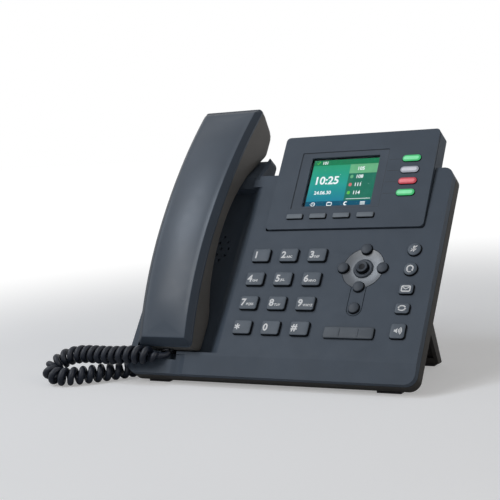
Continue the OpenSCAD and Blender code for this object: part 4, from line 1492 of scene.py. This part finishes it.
class KeyKind(Enum):
    """The kinds of key on the phone."""

    DIGIT = KeyForm(1.6, 0.6, -0.18, 1.0)
    ROUND = KeyForm(9.0, 0.8, -0.25, 0.9)
    OK = KeyForm(9.0, 0.5, 0.6, 0.9)
    SIDE = KeyForm(1.8, 0.6, -0.15, 1.0)
    SOFT = KeyForm(0.8, 0.5, -0.12, 1.0)
    LINE = KeyForm(9.0, 0.6, -0.15, 1.0)


@dataclass
class Key:
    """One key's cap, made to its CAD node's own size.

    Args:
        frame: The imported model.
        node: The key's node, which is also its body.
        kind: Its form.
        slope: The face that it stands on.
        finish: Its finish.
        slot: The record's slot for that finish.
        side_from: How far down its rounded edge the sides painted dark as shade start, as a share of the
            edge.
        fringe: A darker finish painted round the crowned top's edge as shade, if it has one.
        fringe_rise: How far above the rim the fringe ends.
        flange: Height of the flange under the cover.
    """

    frame: Frame
    node: str
    kind: KeyKind
    slope: Slope
    finish: Finish
    slot: str
    side_from: float = 0.55
    fringe: Finish | None = None
    fringe_rise: float = 0.09
    flange: float = 0.95

    @property
    def box(self) -> Extent:
        """The node's box on its slope."""
        return self.frame.extent(self.node, self.slope)

    @property
    def top(self) -> Array:
        """The middle of the key's top."""
        return np.array([*self.box.middle[:2], self.box.high[2]])

    @property
    def rim(self) -> float:
        """Height at which the key's rounded edge meets its top."""
        return self.box.high[2] - max(-self.kind.value.dish, 0)

    def surface(self) -> Surface:
        """A flange, a straight body, a quarter-round edge and a dished or crowned top.

        The top lies below the rim by the dish times 1 - (1 - v)^2, v from 0 at the edge to 1 in the middle.
        """
        form, box, rim = self.kind.value, self.box, self.rim
        width, height = box.size[:2] - 2 * form.lip
        corner = min(form.corner, min(width, height) / 2)
        reach = min(width, height) / 2
        quarter = np.linspace(0, np.pi / 2, 6)
        edge = [(form.edge * (1 - math.cos(t)), rim - form.edge * (1 - math.sin(t))) for t in quarter]
        crown = [(form.edge + (reach - form.edge) * v, rim - form.dish * (1 - (1 - v) ** 2))
                 for v in (0.15, 0.35, 0.6, 0.85)]
        flange_top = box.low[2] + self.flange
        levels = [(-form.lip, box.low[2]), (-form.lip, flange_top), (0.0, flange_top)]
        made = stacked(lambda inset: rounded(width, height, corner, inset), levels + edge + crown)
        return made.moved(*box.middle[:2])

    def build(self) -> Object:
        """Makes the cap, with its sides painted dark as shade, and lets it ride on its own body."""
        made = piece(self.node + "_cap", self.surface(), self.slope, self.finish)
        # Painted shade: a darker copy of the lens colour round the top's edge.
        if self.fringe is not None:
            two_tone(made, self.slope, self.rim + self.fringe_rise, self.fringe)
        # Painted shade: the faces below the rounded edge get the near-black side finish for the keys'
        # shadowed sides.
        two_tone(made, self.slope, self.rim - self.side_from * self.kind.value.edge, Finish.KEY_SIDE_SHADE)
        return self.frame.join(made, self.node, self.slot, [self.node])

    def print_mark(self, mark: Surface, x: float = 0.0, y: float = 0.0, sink: float = 0.04) -> None:
        """Prints a mark on the key's top, at a place from its middle."""
        made = piece(self.node + "_mark", mark.moved(*(self.top + [x, y, -sink])), self.slope, Finish.LEGEND)
        self.frame.join(made, self.node)


class Marks:
    """The printed marks on the keys, each centred on the origin.

    Attributes:
        low: Height of a mark's foot from the key's top, before it is sunk in.
        high: Height of its top.
        boldness: How many times wider than written the strokes are.
    """

    low = -0.12
    high = 0.07
    boldness = 1.5

    @classmethod
    def stroke(cls, line: Array | Sequence, width: float = 0.5, closed: bool = False) -> Surface:
        """A printed line."""
        return ribbon(line, width * cls.boldness, cls.low, cls.high, closed)

    @classmethod
    def spot(cls, outline: Array | Sequence) -> Surface:
        """A printed patch."""
        return plate(outline, cls.low, cls.high)

    @classmethod
    def text(cls, words: str, height: float) -> Surface:
        """Printed figures or letters."""
        return lettering(words, height, cls.low, cls.high)

    @classmethod
    def star(cls) -> Surface:
        """An asterisk of three crossed strokes."""
        bar = cls.stroke([[-2.1, 0], [0, 0], [2.1, 0]], 0.6)
        return Surface.joined([bar.turned(turn).moved(z=0.004 * turn / 60) for turn in (30, 90, 150)])

    @classmethod
    def muted_microphone(cls) -> Surface:
        """A microphone with a stroke through it."""
        capsule = cls.spot(rounded(1.5, 2.8, 0.75)).moved(y=0.7)
        cradle = cls.stroke(arc_line(1.45, 190, 350, (0, 0.3)), 0.35)
        stem = cls.stroke([[0, -1.1], [0, -1.7], [0, -2.1]], 0.4)
        slash = cls.stroke([[-1.9, -1.8], [0, 0.2], [1.9, 2.2]], 0.4)
        return Surface.joined([capsule, cradle, stem, slash])

    @classmethod
    def headset(cls) -> Surface:
        """A headband with two ear pads and a boom."""
        band = cls.stroke(arc_line(2.0, -20, 200), 0.6)
        pads = [cls.spot(rounded(1.0, 1.7, 0.4)).moved(x=side * 1.75, y=-0.9) for side in (-1, 1)]
        boom = cls.stroke(arc_line(1.9, 215, 300, (0, -0.6)), 0.35)
        return Surface.joined([band, *pads, boom])

    @classmethod
    def envelope(cls) -> Surface:
        """An envelope with its flap."""
        rim = cls.stroke(rounded(5.6, 3.6, 0.7), 0.55, closed=True)
        flap = cls.stroke([[-2.4, 1.3], [-1.2, 0.4], [0, -0.3], [1.2, 0.4], [2.4, 1.3]], 0.4)
        return Surface.joined([rim, flap])

    @classmethod
    def redial(cls) -> Surface:
        """Two arrows that chase each other round."""
        arcs = [cls.stroke(arc_line(1.9, a, a + 140) * [1.25, 0.85], 0.5) for a in (20, 200)]
        head = cls.spot([[0.9, 0], [-0.5, 0.8], [-0.5, -0.8]])
        heads = [head.turned(turn).moved(side * 2.1, side * -0.5) for turn, side in ((-100, 1), (80, -1))]
        return Surface.joined([*arcs, *heads])

    @classmethod
    def loudspeaker(cls) -> Surface:
        """A small horn with sound waves."""
        horn = cls.spot([[-2.2, -0.7], [-1.2, -0.7], [0, -1.8], [0, 1.8], [-1.2, 0.7], [-2.2, 0.7]])
        waves = [cls.stroke(arc_line(r, -48, 48, (-0.2, 0)), 0.4) for r in (1.2, 2.1, 3.0)]
        return Surface.joined([horn, *waves])


@dataclass
class Keypad:
    """Twelve digit keys with their figures and letters.

    Args:
        frame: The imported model.
        legends: Each key's name, figure and letters.
        figure_height: Height of a figure.
        letter_height: Height of the letters.
        figure_x: How far a figure's middle lies from the key's middle.
        letter_gap: Gap between a figure and its letters.
    """

    frame: Frame
    legends: tuple[tuple[str, str, str], ...] = (
        ("1", "1", ""), ("2", "2", "ABC"), ("3", "3", "DEF"), ("4", "4", "GHI"), ("5", "5", "JKL"),
        ("6", "6", "MNO"), ("7", "7", "PQRS"), ("8", "8", "TUV"), ("9", "9", "WXYZ"), ("star", "*", ""),
        ("0", "0", ""), ("hash", "#", ""))
    figure_height: float = 5.0
    letter_height: float = 1.7
    figure_x: float = -3.4
    letter_gap: float = 0.4

    def build(self) -> None:
        """Makes every key and prints its legend."""
        for name, figure, letters in self.legends:
            key = Key(self.frame, f"key_{name}", KeyKind.DIGIT, FACE, Finish.KEY, "key_plastic")
            key.build()
            mark = Marks.star() if figure == "*" else Marks.text(figure, self.figure_height)
            mark = mark.moved(x=self.figure_x)
            parts = [mark]
            if letters:
                small = Marks.text(letters, self.letter_height)
                x = mark.points[:, 0].max() + self.letter_gap - small.points[:, 0].min()
                y = -self.figure_height / 2 - small.points[:, 1].min()
                parts.append(small.moved(x, y))
            key.print_mark(Surface.joined(parts))


@dataclass
class SideColumn:
    """The function keys at the right edge, the soft keys and the line keys of the display.

    Args:
        frame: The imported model.
    """

    frame: Frame

    def build(self) -> None:
        """Makes the keys and prints their marks."""
        column = (("mute_key", KeyKind.ROUND, Marks.muted_microphone()),
                  ("headset_key", KeyKind.ROUND, Marks.headset()),
                  ("message_key", KeyKind.SIDE, Marks.envelope()),
                  ("redial_key", KeyKind.SIDE, Marks.redial()),
                  ("speaker_key", KeyKind.SIDE, Marks.loudspeaker()))
        for node, kind, mark in column:
            key = Key(self.frame, node, kind, FACE, Finish.KEY, "key_plastic")
            key.build()
            key.print_mark(mark)
        for i in range(4):
            name = f"soft_key_{i + 1}"
            Key(self.frame, name, KeyKind.SOFT, DISPLAY, Finish.SOFT_KEY, "key_plastic").build()
        green = (Finish.LINE_GREEN, Finish.LINE_GREEN_EDGE_SHADE, "line_green")
        grey = (Finish.LINE_GREY, Finish.LINE_GREY_EDGE_SHADE, "line_grey")
        red = (Finish.LINE_RED, Finish.LINE_RED_EDGE_SHADE, "line_red")
        for i, (finish, fringe, slot) in enumerate((green, grey, red, green)):
            Key(self.frame, f"line_key_{i + 1}", KeyKind.LINE, DISPLAY, finish, slot, 0.8, fringe).build()


@dataclass
class NavCluster:
    """The dished satin ring, the six keys in it and the volume bar.

    Args:
        frame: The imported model.
        inner: Inner radius of the satin ring.
        outer: Outer radius of the satin ring.
        dish: How far the ring falls towards the middle.
        hub: Inner radius of the collar round the OK key.
        hole: Radius of the holes for the keys.
        bore: Bottom and top of the tools that cut the holes.
        tail_half: Half the width of the plain tail that runs down to the back key.
        ring_points: Points round each turned ring.
    """

    frame: Frame
    inner: float = 6.8
    outer: float = 14.2
    dish: float = 0.8
    hub: float = 4.3
    hole: float = 4.1
    bore: tuple[float, float] = (-3.0, 3.0)
    tail_half: float = 5.2
    ring_points: int = 96

    def build(self) -> None:
        """Makes the ring, its tail and collar, its keys and the volume bar."""
        for name in ("up", "down", "left", "right", "back"):
            Key(self.frame, f"nav_{name}", KeyKind.ROUND, FACE, Finish.NAV_KEY, "key_plastic").build()
        Key(self.frame, "nav_ok", KeyKind.OK, FACE, Finish.NAV_KEY, "key_plastic").build()
        self.build_ring()
        self.build_tail()
        self.build_collar()
        self.build_volume()

    def turned_ring(self, profile: Array) -> Surface:
        """A closed profile of radius and height, turned about the OK key's middle."""
        rings = [np.column_stack([circle(r, self.ring_points), np.full(self.ring_points, z)])
                 for r, z in profile]
        return lofted(np.stack(rings), looped=True).moved(*self.frame.extent("nav_ok").middle[:2])

    def drill(self, name: str) -> Object:
        """The tool that bores the hole for one of the keys."""
        bore = plate(circle(self.hole, self.ring_points // 2), *self.bore)
        return piece("bore_tool", bore.moved(*self.frame.extent(name).middle[:2]), FACE, Finish.SOCKET)

    def build_ring(self) -> None:
        """The satin ring: its top falls by the dish times 1 - (1 - u)^2, u from 0 at the rim to 1 inside."""
        box = self.frame.extent("nav_plate")
        low, high = box.low[2], box.high[2]
        u = np.linspace(0, 1, 9)
        top = np.column_stack([self.outer - (self.outer - self.inner) * u,
                               high - self.dish * (1 - (1 - u) ** 2)])
        under = np.array([[self.inner, low - 0.3], [self.outer, low - 0.3]])
        ring = piece("nav_ring", self.turned_ring(np.concatenate([top, under])), FACE, Finish.SATIN)
        for name in ("nav_up", "nav_down", "nav_left", "nav_right"):
            cut(ring, self.drill(name))
        smoothed(ring.data, 30)
        self.frame.join(ring, "base", "nav_silver", ["nav_plate"])

    def build_tail(self) -> None:
        """The plain tail between the ring and the back key, in the cover's finish."""
        box = self.frame.extent("nav_plate")
        middle = self.frame.extent("nav_ok").middle
        width, height = 2 * self.tail_half, middle[1] - box.low[1] - 2
        shape = stacked(lambda inset: rounded(width, height, self.tail_half, inset),
                        [(0.2, box.low[2]), (0.2, box.high[2] - 0.1), (0.3, box.high[2])])
        tail = piece("nav_tail", shape.moved(middle[0], box.low[1] + height / 2), FACE, Finish.COVER)
        well = plate(circle(self.outer + 0.1, self.ring_points), *self.bore).moved(*middle[:2])
        cut(tail, piece("well_tool", well, FACE, Finish.SOCKET))
        cut(tail, self.drill("nav_back"))
        cut(tail, self.drill("nav_down"))
        smoothed(tail.data, 30)
        self.frame.join(tail, "base", "cover_plastic", ["nav_plate"])

    def build_collar(self) -> None:
        """A low matt collar between the OK key and the satin ring: a turned profile."""
        top = self.frame.extent("nav_plate").high[2]
        profile = filleted([(self.hub, top - 0.9), (self.hub, top + 0.2), (self.inner - 0.7, top + 0.3),
                            (self.inner, top - 0.3), (self.inner, top - 0.9)], 0.4)
        collar = piece("nav_collar", self.turned_ring(profile), FACE, Finish.NAV_KEY)
        self.frame.join(collar, "base", "key_plastic")

    def build_volume(self) -> None:
        """The volume bar: a rounded rocker with two low ridges, over a tongue under the cover."""
        box = self.frame.extent("volume_rocker")
        flange, edge, ridge_x = 1.2, 0.7, 6.4
        width, height = box.size[0], box.size[1] - 2 * flange
        quarter = np.linspace(0, np.pi / 2, 6)
        levels = [(0.0, box.low[2])]
        levels += [(edge * (1 - math.cos(t)), box.high[2] - edge * (1 - math.sin(t))) for t in quarter]
        bar = stacked(lambda inset: rounded(width, height, 1.3, inset), levels).moved(*box.middle[:2])
        ridge = stacked(lambda inset: rounded(1.3, height - 2.2, 0.6, inset),
                        [(0, -0.2), (0.1, 0.12), (0.4, 0.22)])
        ridges = [ridge.moved(box.middle[0] + x, box.middle[1], box.high[2]) for x in (-ridge_x, ridge_x)]
        tongue = plate(rounded(width - 9.6, box.size[1], 1.0), box.low[2], box.low[2] + 0.8)
        tongue = tongue.moved(*box.middle[:2])
        made = piece("volume_bar", Surface.joined([bar, *ridges, tongue]), FACE, Finish.VOLUME)
        # Painted shade: the bar's sides get the near-black key side finish.
        two_tone(made, FACE, box.high[2] - 0.5, Finish.KEY_SIDE_SHADE)
        self.frame.join(made, "volume_rocker", "key_plastic", ["volume_rocker"])


# ---- the display ----

@dataclass
class DisplayUnit:
    """The display's housing, its lit picture, its window and its alert lamp.

    Args:
        frame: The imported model.
        ground_depth: How far the picture lies below the panel's top.
        border: Dark border at the picture's left, bottom, right and top.
        list_top: Height of the list's first row, as a share of the picture.
        list_left: Left side of the list, as a share of the picture.
        row_step: Step from one row to the next, as a share of the picture.
        thick: Thickness of a patch of colour.
        bezel: The bezel's left side, bottom, width and height.
        bezel_print: Bottom and top of the line printed on the bezel.
        guide_gap: Gap between the bezel and a line that leads to a key.
        key_gap: Gap between that line and the key.
    """

    frame: Frame
    ground_depth: float = 0.32
    border: tuple[float, float, float, float] = (1.1, 0.25, 0.2, 0.9)
    list_top: float = 0.79
    list_left: float = 0.575
    row_step: float = 0.17
    thick: float = 0.025
    bezel: tuple[float, float, float, float] = (-7.2, 15.3, 65.2, 44.7)
    bezel_print: tuple[float, float] = (-0.56, -0.44)
    guide_gap: float = 1.0
    key_gap: float = 1.2

    def build(self) -> None:
        """Makes the housing and the picture."""
        for node, finish, slot in (("display_housing", Finish.COVER, "cover_plastic"),
                                   ("display_back", Finish.REAR, "rear_plastic")):
            self.frame.join(self.frame.softened(node, finish, 0.3), "base", slot, [node])
        self.frame.dress("display_lens", Finish.GLASS)
        self.frame.dress("indicator_lens", Finish.ALERT_RED)
        self.build_panel()
        self.build_picture()
        self.build_lines()

    def build_panel(self) -> None:
        """The panel under the window, a little lower than its node so that the picture clears the glass."""
        box = self.frame.extent("lcd_panel", DISPLAY)
        top = box.high[2] - self.ground_depth
        width, height = box.size[:2]
        solid = stacked(lambda inset: rounded(width, height, 0.6, inset),
                        [(0, box.low[2]), (0, top - 0.1), (0.1, top)])
        made = piece("display_panel", solid.moved(*box.middle[:2]), DISPLAY, Finish.SOCKET)
        self.frame.join(made, "base", "screen", ["lcd_panel"])

    def build_picture(self) -> None:
        """The picture: a shaded ground, bars, a list, a clock and small symbols, each a hair proud."""
        window = self.frame.extent("display_lens", DISPLAY)
        left, bottom, right, top = self.border
        x0, y0 = window.low[0] + left, window.low[1] + bottom
        width, height = window.size[0] - left - right, window.size[1] - bottom - top
        floor = self.frame.extent("lcd_panel", DISPLAY).high[2] - self.ground_depth
        ink = floor + 2 * LAYER

        def patch(x: tuple[float, float], y: tuple[float, float], layer: int,
                  corner: float = 0.02) -> Surface:
            """A patch between shares of the picture's width and height."""
            size = ((x[1] - x[0]) * width, (y[1] - y[0]) * height)
            centre = (x0 + (x[0] + x[1]) / 2 * width, y0 + (y[0] + y[1]) / 2 * height)
            low = floor + LAYER * layer
            return plate(rounded(*size, corner, arc=3), low, low + self.thick).moved(*centre)

        def words(text: str, tall: float, x: float, y: float) -> Surface:
            """Figures of a height in millimetres that start at a share of the picture."""
            made = lettering(text, tall, ink, ink + LAYER, weight=0.035)
            return made.moved(x0 + x * width - made.points[:, 0].min(), y0 + y * height)

        def dot(row: float) -> Surface:
            """A round spot in front of a row of the list."""
            return patch((0.605, 0.65), (row - 0.035, row + 0.035), 2, 0.9)

        self.build_ground(patch((0, 1), (0, 1), 0), (x0, y0), (width, height))
        foot, row_foot, bar = 0.115, 0.69, 0.885
        rows = [self.list_top - self.row_step * i for i in range(4)]
        marks = [words("10:25", 6.2, 0.09, 0.56), words("24.06.30", 2.7, 0.1, 0.3),
                 words("101", 2.3, 0.14, 0.94)]
        marks += [words(str(105 + 3 * i), 2.7, 0.7, y) for i, y in enumerate(rows)]
        marks += [patch((0.61, 0.97), (0.145, 0.155), 2)]
        marks += [part.moved(x0, y0, ink) for part in self.foot_symbols(width, height)]
        tick = self.tick().moved(x0 + 0.07 * width, y0 + 0.94 * height, ink)
        for name, finish, parts in (
                ("screen_status_bar", Finish.INK_BAR, [patch((0, 1), (bar, 1), 1)]),
                ("screen_foot_bar", Finish.INK_FOOT, [patch((0, 1), (0, foot), 1)]),
                ("screen_list", Finish.INK_LIST, [patch((self.list_left, 1), (foot, row_foot), 1)]),
                ("screen_first_row", Finish.INK_ROW, [patch((self.list_left, 1), (row_foot, bar), 1)]),
                ("screen_marks", Finish.INK_WHITE, marks),
                ("screen_ready_marks", Finish.INK_GREEN, [tick, dot(rows[3])]),
                ("screen_busy_marks", Finish.INK_RED, [dot(rows[2])]),
                ("screen_away_marks", Finish.INK_ROW, [dot(rows[1])])):
            self.frame.join(piece(name, Surface.joined(parts), DISPLAY, finish), "base", "screen")

    def build_ground(self, surface: Surface, start: tuple[float, float], size: tuple[float, float]) -> None:
        """The shaded ground, whose UV map gives each point's share of the picture.

        Args:
            surface: Its surface.
            start: The picture's lower left corner.
            size: The picture's width and height.
        """
        ground = piece("screen_ground", surface, DISPLAY, Finish.SCREEN)
        layer = ground.data.uv_layers.new(name="picture")
        corner = np.empty(len(ground.data.loops), np.int32)
        ground.data.loops.foreach_get("vertex_index", corner)
        share = (DISPLAY.local(vertices(ground.data))[:, :2] - start) / size
        layer.data.foreach_set("uv", share[corner].astype(np.float32).ravel())
        self.frame.join(ground, "base", "screen")

    @staticmethod
    def tick() -> Surface:
        """A bold tick, centred on the origin."""
        return ribbon([[-1.1, 0.1], [-0.3, -0.8], [0.4, 0.2], [1.2, 1.2]], 0.7, 0, LAYER)

    @staticmethod
    def foot_symbols(width: float, height: float) -> list[Surface]:
        """Four symbols in the foot bar: a clock, a folder, a moon and a menu.

        Args:
            width: The picture's width.
            height: The picture's height.

        Returns:
            The symbols' strokes, from the picture's lower left corner.
        """
        centres = [(share * width, 0.055 * height) for share in (0.12, 0.37, 0.62, 0.87)]
        clock = [ribbon(circle(1.35, 20), 0.5, 0, LAYER, closed=True),
                 ribbon([[0, 0.8], [0, 0], [0.6, 0]], 0.4, 0, LAYER)]
        folder = [ribbon(rounded(3.4, 2.2, 0.3), 0.5, 0, LAYER, closed=True),
                  plate(rounded(1.6, 0.6, 0.2), 0, LAYER).moved(-0.6, 1.35)]
        moon = [ribbon(arc_line(1.2, 60, 300, steps=16), 0.9, 0, LAYER)]
        menu = [plate(rounded(3.6, 0.5, 0.2), 0, LAYER).moved(0, dy) for dy in (-0.9, 0, 0.9)]
        symbols = zip(centres, (clock, folder, moon, menu))
        return [part.moved(*centre) for centre, parts in symbols for part in parts]

    def build_lines(self) -> None:
        """A printed line round the bezel, and four short ones that tie the line keys to the picture."""
        x, y, wide, tall = self.bezel
        rim, stroke = x + wide, 0.5
        around = rounded(wide - stroke, tall - stroke, 0.8)
        frame_line = ribbon(around, stroke, *self.bezel_print, closed=True)
        lines = [frame_line.moved(x + wide / 2, y + tall / 2)]
        for i in range(4):
            key = self.frame.extent(f"line_key_{i + 1}", DISPLAY)
            length = key.low[0] + KeyKind.LINE.value.lip - self.key_gap - rim - self.guide_gap
            middle = rim + self.guide_gap + length / 2
            guide = plate(rounded(length, 0.35, 0.15, arc=3), -0.05, 0.03)
            lines.append(guide.moved(middle, key.middle[1]))
        made = piece("display_guide_lines", Surface.joined(lines), DISPLAY, Finish.BEZEL_LINE)
        self.frame.join(made, "base")


# ---- the base ----

@dataclass
class Base:
    """The base's covers, stand and fittings.

    Args:
        frame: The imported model.
    """

    frame: Frame

    def build(self) -> None:
        """Rounds the covers' edges and dresses what they hold."""
        for node, finish, edge, slot in (("front_cover", Finish.COVER, 0.7, "cover_plastic"),
                                         ("rear_cover", Finish.REAR, 0.6, "rear_plastic"),
                                         ("stand", Finish.STAND, 0.6, "rear_plastic"),
                                         ("hook_lever", Finish.NAV_KEY, 0.4, "key_plastic")):
            body = "hook_lever" if node == "hook_lever" else "base"
            self.frame.join(self.frame.softened(node, finish, edge), body, slot, [node])
        for node, finish in (("main_board", Finish.BOARD), ("keypad_board", Finish.BOARD),
                             ("key_mat", Finish.KEY_MAT), ("loudspeaker", Finish.CONE),
                             ("hook_switch", Finish.SOCKET), ("network_jacks", Finish.SOCKET),
                             ("handset_jacks", Finish.SOCKET), ("power_jack", Finish.SOCKET),
                             ("rubber_feet", Finish.FOOT), ("case_screws", Finish.STEEL)):
            self.frame.dress(node, finish)


def main() -> None:
    """Builds the studio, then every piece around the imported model."""
    logging.basicConfig(level=logging.INFO, format="%(message)s")
    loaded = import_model()
    frame = Frame(loaded)
    Studio().build()
    HandsetCord().build(frame)
    Handset(frame).build()
    Keypad(frame).build()
    SideColumn(frame).build()
    NavCluster(frame).build()
    DisplayUnit(frame).build()
    Base(frame).build()


if __name__ == "__main__":
    main()
